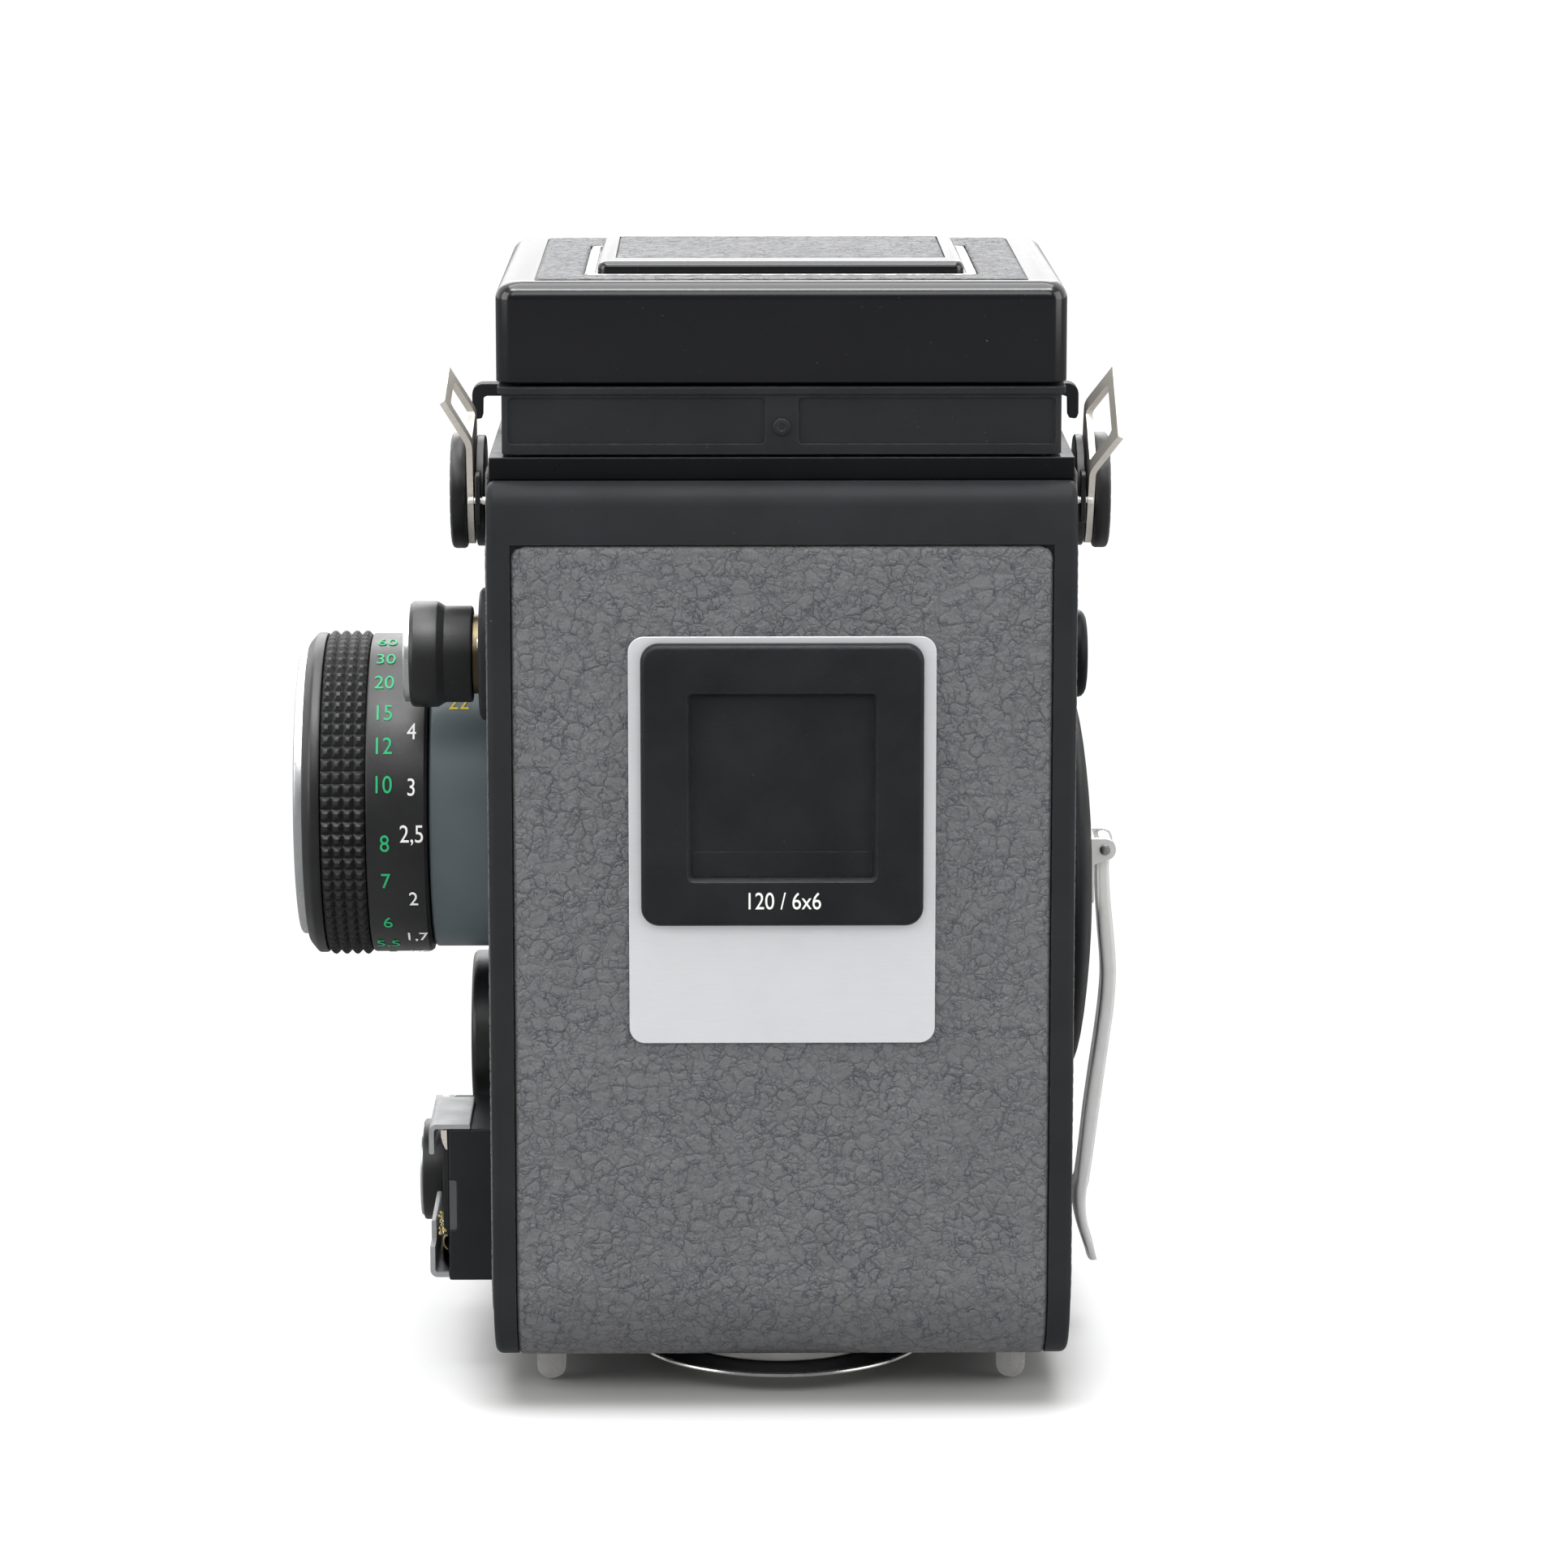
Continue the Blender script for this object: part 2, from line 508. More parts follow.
def leather_sheet(name, rows, normal_rows, xr, base_rows, du, body, replaces, seed, amp=0.13, swap=None):
    # rows: (s, a, b) centre line of the sheet; xr(s) -> (x0, x1); normals in the (a, b) plane
    s = np.array([r[0] for r in rows])
    ab = np.array([[r[1], r[2]] for r in rows])
    nn = np.array(normal_rows)
    bb = np.array(base_rows)
    lims = np.array([xr(q) for q in s])
    nu = int((lims[:, 1] - lims[:, 0]).max() / du) + 1
    f = np.linspace(0, 1, nu)
    U = lims[:, :1] + (lims[:, 1:] - lims[:, :1]) * f[None, :]
    S = np.repeat(s[:, None], nu, 1)
    H, C, T = grain(U + 300.0, S + 300.0, seed)
    edge = np.minimum(np.minimum(U - lims[:, :1], lims[:, 1:] - U), np.minimum(S - s[0], s[-1] - S))
    roll = smooth(edge, -0.02, 0.45)
    hgt = amp * (H - 0.75) * roll - 0.32 * (1 - roll)
    A = ab[:, 0][:, None] + nn[:, 0][:, None] * hgt
    B = ab[:, 1][:, None] + nn[:, 1][:, None] * hgt
    m = len(s)
    P = np.stack([U, A, B], -1).reshape(-1, 3)
    left = np.stack([lims[:, 0], bb[:, 0], bb[:, 1]], -1)
    right = np.stack([lims[:, 1], bb[:, 0], bb[:, 1]], -1)
    P = np.concatenate([P, left, right])
    if swap:
        P = swap(P)
    P = (P + np.array([SX, SY, SZ])) * MM
    i, j = np.meshgrid(np.arange(m - 1), np.arange(nu - 1), indexing='ij')
    a = (i * nu + j).ravel()
    quads = np.stack([a, a + 1, a + nu + 1, a + nu], -1)
    L0, R0 = m * nu, m * nu + m
    k = np.arange(m - 1)
    side_l = np.stack([k * nu, (k + 1) * nu, L0 + k + 1, L0 + k], -1)
    side_r = np.stack([k * nu + nu - 1, R0 + k, R0 + k + 1, (k + 1) * nu + nu - 1], -1)
    back = np.stack([L0 + k, L0 + k + 1, R0 + k + 1, R0 + k], -1)
    faces = [tuple(q) for q in np.concatenate([quads, side_l, side_r, back]).tolist()]
    faces.append(tuple(list(range(nu - 1, -1, -1)) + [L0, R0]))
    faces.append(tuple([(m - 1) * nu + q for q in range(nu)] + [R0 + m - 1, L0 + m - 1]))
    me = bpy.data.meshes.new(name)
    me.from_pydata(P.tolist(), [], faces)
    bm = bmesh.new()
    bm.from_mesh(me)
    bmesh.ops.recalc_face_normals(bm, faces=bm.faces)
    bm.to_mesh(me)
    bm.free()
    pad = np.zeros(2 * m)
    for nm, arr in (("crease", C), ("tone", T), ("rim", 1 - smooth(edge, 0.02, 0.22))):
        at = me.attributes.new(nm, 'FLOAT', 'POINT')
        at.data.foreach_set("value", np.concatenate([arr.ravel(), pad + (1.0 if nm == "rim" else 0.0)]).astype(np.float32))
    me.materials.append(M["leather"])
    me.shade_smooth()
    ob = bpy.data.objects.new(name, me)
    bpy.context.scene.collection.objects.link(ob)
    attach(ob, body)
    if replaces:
        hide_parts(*replaces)
    return ob


def text_mesh(txt, size, extrude=0.03):
    cu = bpy.data.curves.new("t", 'FONT')
    cu.body = txt
    cu.size = size
    cu.align_x, cu.align_y = 'CENTER', 'CENTER'
    cu.extrude = extrude
    cu.resolution_u = 6
    ob = bpy.data.objects.new("t", cu)
    bpy.context.scene.collection.objects.link(ob)
    me = bpy.data.meshes.new_from_object(ob.evaluated_get(bpy.context.evaluated_depsgraph_get()))
    bm = bmesh.new()
    bm.from_mesh(me)
    bpy.data.objects.remove(ob, do_unlink=True)
    bpy.data.curves.remove(cu)
    bpy.data.meshes.remove(me)
    return bm


def merge(bms):
    out = bmesh.new()
    for b in bms:
        me = bpy.data.meshes.new("m")
        b.to_mesh(me)
        b.free()
        out.from_mesh(me)
        bpy.data.meshes.remove(me)
    return out


def round_text(txt, size, x, radius, deg, centre, squeeze=0.82):
    # numerals wrapped round a knob whose axis is X; upright as seen from behind
    bm = text_mesh(txt, size)
    bmesh.ops.subdivide_edges(bm, edges=[e for e in bm.edges if e.calc_length() > 0.5], cuts=1)
    for v in bm.verts:
        t = math.radians(deg) + v.co.y / radius
        r = radius + 0.02 + (v.co.z + 0.03) * 0.8
        v.co = Vector((x - v.co.x * squeeze, centre[0] + r * math.cos(t), centre[1] + r * math.sin(t)))
    return bm


def flat_text(txt, size, fn, squeeze=0.85):
    bm = text_mesh(txt, size)
    for v in bm.verts:
        v.co = Vector(fn(v.co.x * squeeze, v.co.y, v.co.z))
    bmesh.ops.recalc_face_normals(bm, faces=bm.faces)
    return bm


def keep_node(name, mat, sharp=30.0):
    ob = NODES[name]
    ob.data.materials.clear()
    ob.data.materials.append(M[mat])
    for p in ob.data.polygons:
        p.material_index = 0
    ob.data.shade_smooth()
    ob.data.set_sharp_from_angle(angle=math.radians(sharp))


# ------------------------------------------------------------------ body casting
def casting():
    side = ([(-38.0, 7.1), (22.0, 7.1)] + arc(22.0, 16.4, 9.3, -84, 0, 14)
            + [(31.3, 110.6), (28.6, 112.4), (28.6, 122.5), (-38.0, 122.5)])
    b = prism(side, -36.9, 36.9, 'X')
    b = cut(b, box(-34.6, 34.6, -35.8, 45.0, -5.0, 111.0), box(-28, 28, -28, 20, 105, 130), box(-30, 30, -30, 23, 120.3, 130),
            cyl('X', (30.5, 116.5), 3.75, -45, 45, 48))
    b = join(b, prism([(-36.5, 60.5), (20.5, 117.5), (20.5, 120.1), (-36.5, 63.1)], -35.5, 35.5, 'X'), box(-35.4, 35.4, 25, 27, 23, 81))
    b = cut(b, box(-28, 28, 20, 30, 24, 80), box(-30.6, 30.6, -45, -26.6, 29.6, 114.4),
            cyl('X', FOCUS, 3.4, 30, 45, 24), cyl('X', UP, 5.6, 30, 45, 24), cyl('X', LOW, 5.6, 30, 45, 24), cyl('X', CRANK, 3.4, -45, -30, 24))
    emit("casting_shell", b, "body", "shell", ["body_casting"], bevel=0.35, segs=3)


casting()
keep_node("reflex_mirror", "mirror")
keep_node("focusing_screen", "screen")
for nm in ("take_up_spool", "supply_spool"):
    keep_node(nm, "matt")
for nm in ("film_roller_upper", "film_roller_lower"):
    keep_node(nm, "steel")

# fixing screws on the deck around the focusing screen
for i, (x, y) in enumerate(((-32.4, -32.6), (32.4, -32.6), (-32.4, 25.6), (32.4, 25.6))):
    s = cut(lathe([(122.45, 0.0), (122.45, 1.1), (122.7, 1.1), (122.76, 0.9), (122.76, 0.0)], 28, 'Z', (x, y)),
            box(x - 0.14, x + 0.14, y - 2, y + 2, 122.62, 124))
    emit("deck_screw_%d" % (i + 1), s, "body", "shell", bevel=0)


# ------------------------------------------------------------------ leather coverings
def back_leather():
    st = 0.45
    rows, nrm, base = [], [], []
    s = 0.0
    z = 112.0
    n = int((112.0 - 16.4) / st)
    for k in range(n):
        rows.append((s, 34.12, 112.0 - (112.0 - 16.4) * k / n))
        nrm.append((1.0, 0.0))
        base.append((33.5, rows[-1][2]))
        s += (112.0 - 16.4) / n
    R = 12.12
    L = math.pi / 2 * R
    n = int(L / st)
    for k in range(n):
        t = -math.pi / 2 * k / n
        rows.append((s, 22.0 + R * math.cos(t), 16.4 + R * math.sin(t)))
        nrm.append((math.cos(t), math.sin(t)))
        base.append((22.0 + 11.5 * math.cos(t), 16.4 + 11.5 * math.sin(t)))
        s += L / n
    L = 55.3
    n = int(L / 0.5)
    for k in range(n + 1):
        rows.append((s, 22.0 - L * k / n, 16.4 - R))
        nrm.append((0.0, -1.0))
        base.append((rows[-1][1], 16.4 - 11.5))
        s += L / n

    def xr(q):
        r = 1.7
        d = r - math.sqrt(max(0.0, r * r - max(0.0, r - q) ** 2))
        return (-34.0 + d, 34.0 - d)
    leather_sheet("back_covering", rows, nrm, xr, base, 0.45, "door", ["back_leather"], 11, amp=0.05)


def side_leather(name, sg, node, seed):
    # u runs along y (front to rear), s runs down from the top
    top, bot = 120.5, 9.0
    n = int((top - bot) / 0.45)
    rows, nrm, base = [], [], []
    for k in range(n + 1):
        q = (top - bot) * k / n
        rows.append((q, 0.0, top - q))
        nrm.append((1.0, 0.0))
        base.append((-0.55, top - q))

    def xr(q):
        z = top - q
        y1 = 28.6
        if z > 112.6:
            y1 = 25.6
        elif z > 110.5:
            y1 = 28.6 - 3.0 * (z - 110.5) / 2.1
        elif z < 16.4:
            y1 = 22.0 + math.sqrt(max(0.0, 6.6 ** 2 - min(6.6, 16.4 - z) ** 2)) if z > 9.8 else 22.0
        y0 = -35.5
        r = 1.0
        if q < r:
            d = r - math.sqrt(r * r - (r - q) ** 2)
            y0, y1 = y0 + d, y1 - d
        w = z - bot
        if w < r:
            d = r - math.sqrt(max(0.0, r * r - (r - w) ** 2))
            y0 += d
        return (y0, y1)

    def swap(P):
        # (u, a, z) -> (x, y, z) with x just outside the casting side
        return np.stack([sg * (37.50 + P[:, 1] * 1.0), P[:, 0], P[:, 2]], -1)
    leather_sheet(name, rows, nrm, xr, base, 0.45, "body", [node], seed, amp=0.05, swap=swap)


def lid_leather():
    # a frame-shaped sheet round the flap opening, with a slightly ragged inner cut
    x1, ya, yb = 31.0, 25.15, -34.0
    hx, hy0, hy1 = 25.05, 19.25, -22.25
    xs = list(np.linspace(-x1, -hx, 16)) + list(np.linspace(-hx, hx, 110))[1:-1] + list(np.linspace(hx, x1, 16))
    ys = list(np.linspace(ya, hy0, 15)) + list(np.linspace(hy0, hy1, 90))[1:-1] + list(np.linspace(hy1, yb, 28))
    nx, ny = len(xs), len(ys)
    X, Y = np.meshgrid(xs, ys)
    H, C, T = grain(X + 300.0, Y + 300.0, 31)
    outer = np.minimum(x1 - np.abs(X), np.minimum(ya - Y, Y - yb))
    inner = np.maximum(np.abs(X) - hx, np.maximum(Y - hy0, hy1 - Y))
    edge = np.minimum(outer, np.maximum(inner, 0.0))
    roll = smooth(edge, -0.02, 0.45)
    Z = 144.70 + 0.05 * (H - 0.7) * roll - 0.16 * (1 - roll)
    rag = 0.16 * (value_noise(X + 70.0, Y + 70.0, 1.1, 41) - 0.5)
    Yr = np.where(np.abs(Y - hy0) < 0.05, Y + rag - 0.05, Y)
    Xr = np.where(np.abs(np.abs(X) - hx) < 0.02, X + np.sign(X) * rag * 0.5, X)
    hole = lambda i, j: 15 <= j < nx - 16 and 14 <= i < ny - 28
    bm = bmesh.new()
    rim = []
    top = {}
    bot = {}

    def vt(d, i, j, z):
        if (i, j) not in d:
            d[(i, j)] = bm.verts.new((Xr[i, j], Yr[i, j], z))
            rim.append(float(1 - smooth(edge[i, j], 0.02, 0.22)) if d is top else 1.0)
        return d[(i, j)]
    zb = 144.40
    for i in range(ny - 1):
        for j in range(nx - 1):
            if hole(i, j):
                continue
            q = ((i, j), (i, j + 1), (i + 1, j + 1), (i + 1, j))
            bm.faces.new([vt(top, a, b, Z[a, b]) for a, b in q])
            bm.faces.new([vt(bot, a, b, zb) for a, b in q][::-1])
            for (a, b), (c, d), (ni, nj) in ((q[0], q[1], (i - 1, j)), (q[1], q[2], (i, j + 1)), (q[2], q[3], (i + 1, j)), (q[3], q[0], (i, j - 1))):
                if ni < 0 or nj < 0 or ni >= ny - 1 or nj >= nx - 1 or hole(ni, nj):
                    bm.faces.new([vt(top, a, b, Z[a, b]), vt(bot, a, b, zb), vt(bot, c, d, zb), vt(top, c, d, Z[c, d])])
    bmesh.ops.recalc_face_normals(bm, faces=bm.faces)
    bmesh.ops.translate(bm, verts=bm.verts, vec=(SX, SY, SZ))
    bmesh.ops.scale(bm, verts=bm.verts, vec=(MM, MM, MM))
    me = bpy.data.meshes.new("lid_covering")
    bm.to_mesh(me)
    bm.free()
    at = me.attributes.new("rim", 'FLOAT', 'POINT')
    at.data.foreach_set("value", np.array(rim, dtype=np.float32))
    me.materials.append(M["leather"])
    me.shade_smooth()
    ob = bpy.data.objects.new("lid_covering", me)
    bpy.context.scene.collection.objects.link(ob)
    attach(ob, "lid")
    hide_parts("lid_leather")
    q0, q1 = 12.3, -18.9
    n = int((q0 - q1) / 0.4)
    rows, nrm, base = [], [], []
    for k in range(n + 1):
        q = (q0 - q1) * k / n
        rows.append((q, q0 - q, 146.17))
        nrm.append((0.0, 1.0))
        base.append((q0 - q, 145.7))
    leather_sheet("flap_covering", rows, nrm, lambda q: (-21.2, 21.2), base, 0.4, "lid", [], 37, amp=0.05)


back_leather()
side_leather("side_covering_left", 1.0, "side_leather_left", 17)
side_leather("side_covering_right", -1.0, "side_leather_right", 23)
lid_leather()


# ------------------------------------------------------------------ back door
def door():
    prof = ([(34.0, 113.0), (34.0, 16.4)] + arc(22.0, 16.4, 12.0, 0, -90, 22)[1:]
            + [(-38.0, 4.4), (-38.0, 6.8)] + arc(22.0, 16.4, 9.6, -90, 0, 22) + [(31.6, 112.0)]
            + arc(30.5, 116.5, 3.3, -100, -352, 44))

    def inset(poly, q):
        out = []
        n = len(poly)
        area = sum(poly[i][0] * poly[(i + 1) % n][1] - poly[(i + 1) % n][0] * poly[i][1] for i in range(n))
        s = 1.0 if area > 0 else -1.0
        for i in range(n):
            a, b, c = Vector(poly[i - 1]), Vector(poly[i]), Vector(poly[(i + 1) % n])
            e1, e2 = (b - a).normalized(), (c - b).normalized()
            n1, n2 = Vector((-e1.y, e1.x)) * s, Vector((-e2.y, e2.x)) * s
            m = (n1 + n2)
            m = m.normalized() if m.length > 1e-6 else n1
            k = q / max(0.5, m.dot(n1))
            out.append((b.x + m.x * k, b.y + m.y * k))
        return out
    secs = [(-37.1 + 0.95 * c, inset(prof, 0.95 * s)) for c, s in [(1.0 - math.cos(math.radians(a)), 1.0 - math.sin(math.radians(a))) for a in (0, 15, 30, 45, 60, 75, 90)]]
    secs += [(-x, q) for x, q in secs[::-1]]
    d = stack(secs, 'X')
    pocket = ([(40.0, 112.15), (33.4, 112.15), (33.4, 16.4)] + arc(22.0, 16.4, 11.4, 0, -90, 22)[1:] + [(-33.6, 5.0), (-33.6, -5.0), (40.0, -5.0)])
    d = cut(d, prism(pocket, -34.15, 34.15, 'X'), cyl('Z', (0.0, LATCH_Y), 9.3, 0, 12, 40))
    emit("door_shell", d, "door", "black", ["back_door"], sharp=34)


door()
emit("badge_panel", stack([(34.2, rrect(-19.4, 19.4, 48.3, 100.6, 2.0)), (34.48, rrect(-19.4, 19.4, 48.3, 100.6, 2.0)),
                           (34.55, rrect(-19.33, 19.33, 48.37, 100.53, 1.95))], 'Y'), "door", "alu", ["badge_plate"], sharp=20)


def memo():
    o = rrect(-17.85, 17.85, 63.7, 99.8, 2.3)
    secs = [(34.6, o)]
    for k in range(7):
        t = math.radians(90.0 * k / 6)
        d = 0.75 * (1 - math.cos(t))
        secs.append((35.25 + 0.75 * math.sin(t), rrect(-17.85 + d, 17.85 - d, 63.7 + d, 99.8 - d, 2.3 - d * 0.7)))
    m = stack(secs, 'Y')
    # pocket with a sloped edge all round
    m = cut(m, stack([(35.05, rrect(-11.45, 11.45, 69.9, 93.1, 0.35, 4)), (35.55, rrect(-11.55, 11.55, 69.8, 93.2, 0.45, 4)),
                      (36.02, rrect(-12.0, 12.0, 69.35, 93.65, 0.8, 4)), (38.0, rrect(-12.0, 12.0, 69.35, 93.65, 0.8, 4))], 'Y'))
    emit("memo_frame", m, "door", "crinkle", ["memo_holder"], sharp=38)
    emit("memo_card_stop", prism(rrect(-11.3, 11.3, 70.0, 73.2, 0.3, 3), 35.02, 35.12, 'Y'), "door", "crinkle", bevel=0.03, segs=2)
    fmt = flat_text("120 / 6x6", 3.1, lambda a, b, c: (-0.1 - a, 36.0 + 0.02 + c * 0.5, 66.9 + b), 0.82)
    emit("format_marking", fmt, "door", "white", sharp=30)


memo()
plate = cut(prism(rrect(-31.0, 31.0, 24.5, 79.5, 2.0), 28.6, 30.2, 'Y'), prism(rrect(-29.2, 29.2, 26.3, 77.7, 1.2), 27.0, 28.85, 'Y'))
emit("film_pressure_plate", plate, "door", "matt", ["pressure_plate"], bevel=0.15)
for i, z in enumerate((38.0, 66.0)):
    leaf = prism([(-16.0, 30.3), (-6.0, 31.4), (6.0, 31.4), (16.0, 30.3), (16.0, 30.45), (6.0, 31.55), (-6.0, 31.55), (-16.0, 30.45)], z - 3, z + 3, 'Z')
    emit("plate_spring_%d" % (i + 1), leaf, "door", "nickel", bevel=0.04, segs=2)
k = 0
for sx in (1, -1):
    for sy in (1, -1):
        k += 1
        f = lathe([(0.0, 0.0)] + [(1.55 - 1.55 * math.cos(math.radians(a)), 1.86 * math.sin(math.radians(a))) for a in (10, 20, 30, 42, 54, 66, 78)]
                  + [(1.5, 1.84), (1.7, 1.88), (3.9, 1.88), (4.0, 1.8), (4.8, 1.8), (4.8, 0.0)], 48, 'Z', (sx * 30.1, sy * 20.0))
        emit("steel_foot_%d" % k, f, "door", "foot", ["foot_%d" % k])
ring = lathe([(2.35, 13.3), (2.3, 13.6), (2.3, 18.4), (2.36, 18.7), (2.55, 18.9), (2.75, 18.8), (2.8, 18.5), (2.8, 13.9), (3.0, 13.6), (4.3, 13.5), (4.3, 13.2), (2.5, 13.2)], 112, 'Z', (0.0, LATCH_Y), ring=True)
emit("latch_ring_turned", ring, "latch", "black", ["latch_ring"])
emit("latch_collar_band", lathe([(2.95, 13.5), (2.95, 13.8), (3.1, 13.95), (4.25, 13.95), (4.35, 13.8), (4.35, 13.5)], 112, 'Z', (0.0, LATCH_Y), ring=True), "latch", "bright")
emit("latch_ring_edge", lathe([(2.33, 18.75), (2.3, 19.0), (2.4, 19.2), (2.55, 19.3), (2.75, 19.25), (2.82, 19.0), (2.78, 18.75)], 128, 'Z', (0.0, LATCH_Y), ring=True), "latch", "steel")
arrow = prism([(-1.6, 16.6 + LATCH_Y - 33.2 + 0.0), (1.6, 16.6 + LATCH_Y - 33.2), (0.0, 18.0 + LATCH_Y - 36.0)], 2.26, 2.31, 'Z')
emit("latch_arrow", arrow, "latch", "white")
bush = lathe([(2.6, 5.2), (2.6, 12.4), (2.72, 12.7), (3.0, 12.9), (4.3, 12.9), (4.3, 9.0), (7.0, 9.0), (7.0, 4.9), (6.6, 4.75)]
             + [(6.4 - 0.4 * i, 5.05 if i % 2 == 0 else 4.75) for i in range(9)] + [(2.8, 4.95)], 64, 'Z', (0.0, LATCH_Y), ring=True)
emit("tripod_boss", bush, "door", "steel", ["tripod_bush"])


# ------------------------------------------------------------------ focusing side
def collar():
    p = [(37.0, 19.0), (37.0, 20.5), (45.25, 20.5)] + [(45.25 + 0.45 * math.sin(math.radians(a)), 20.05 + 0.45 * math.cos(math.radians(a))) for a in (30, 60, 90)] \
        + [(45.7, 3.7), (43.6, 3.7), (43.6, 19.0)]
    emit("depth_collar", lathe(p, 112, 'X', FOCUS, ring=True), "body", "collar", ["depth_scale_collar"])
    bits = []
    base_deg = 96.0
    for i, t in enumerate(("22", "16", "11", "8", "5.6", "4")):
        off = (51.0, 38.0, 27.5, 19.5, 12.5, 6.5)[i]
        bits.append(round_text(t, 3.4 if i < 3 else 2.2, 41.9 if i < 3 else 42.2, 20.5, base_deg - off, FOCUS))
        bits.append(round_text(t, 3.4 if i < 3 else 2.2, 41.9 if i < 3 else 42.2, 20.5, base_deg + off, FOCUS))
    emit("depth_numerals", merge(bits), "body", "yellow")
    ticks = []
    for off in (0.0, 6.5, 12.5, 19.5, 27.5, 38.0, 51.0):
        for s in ((1, -1) if off else (1,)):
            d = math.radians(base_deg + s * off)
            w = 0.018 if off == 0 else 0.007
            b = bmesh.new()
            q = [b.verts.new((x, FOCUS[0] + r * math.cos(d + e), FOCUS[1] + r * math.sin(d + e))) for r in (20.48, 20.54) for x, e in ((44.0, -w), (45.3, -w), (45.3, w), (44.0, w))]
            b.faces.new(q[0:4]); b.faces.new(q[4:8][::-1])
            for i in range(4):
                j = (i + 1) % 4
                b.faces.new((q[i], q[j], q[4 + j], q[4 + i]))
            bmesh.ops.recalc_face_normals(b, faces=b.faces)
            ticks.append(b)
    emit("depth_ticks", merge(ticks), "body", "yellow")


collar()


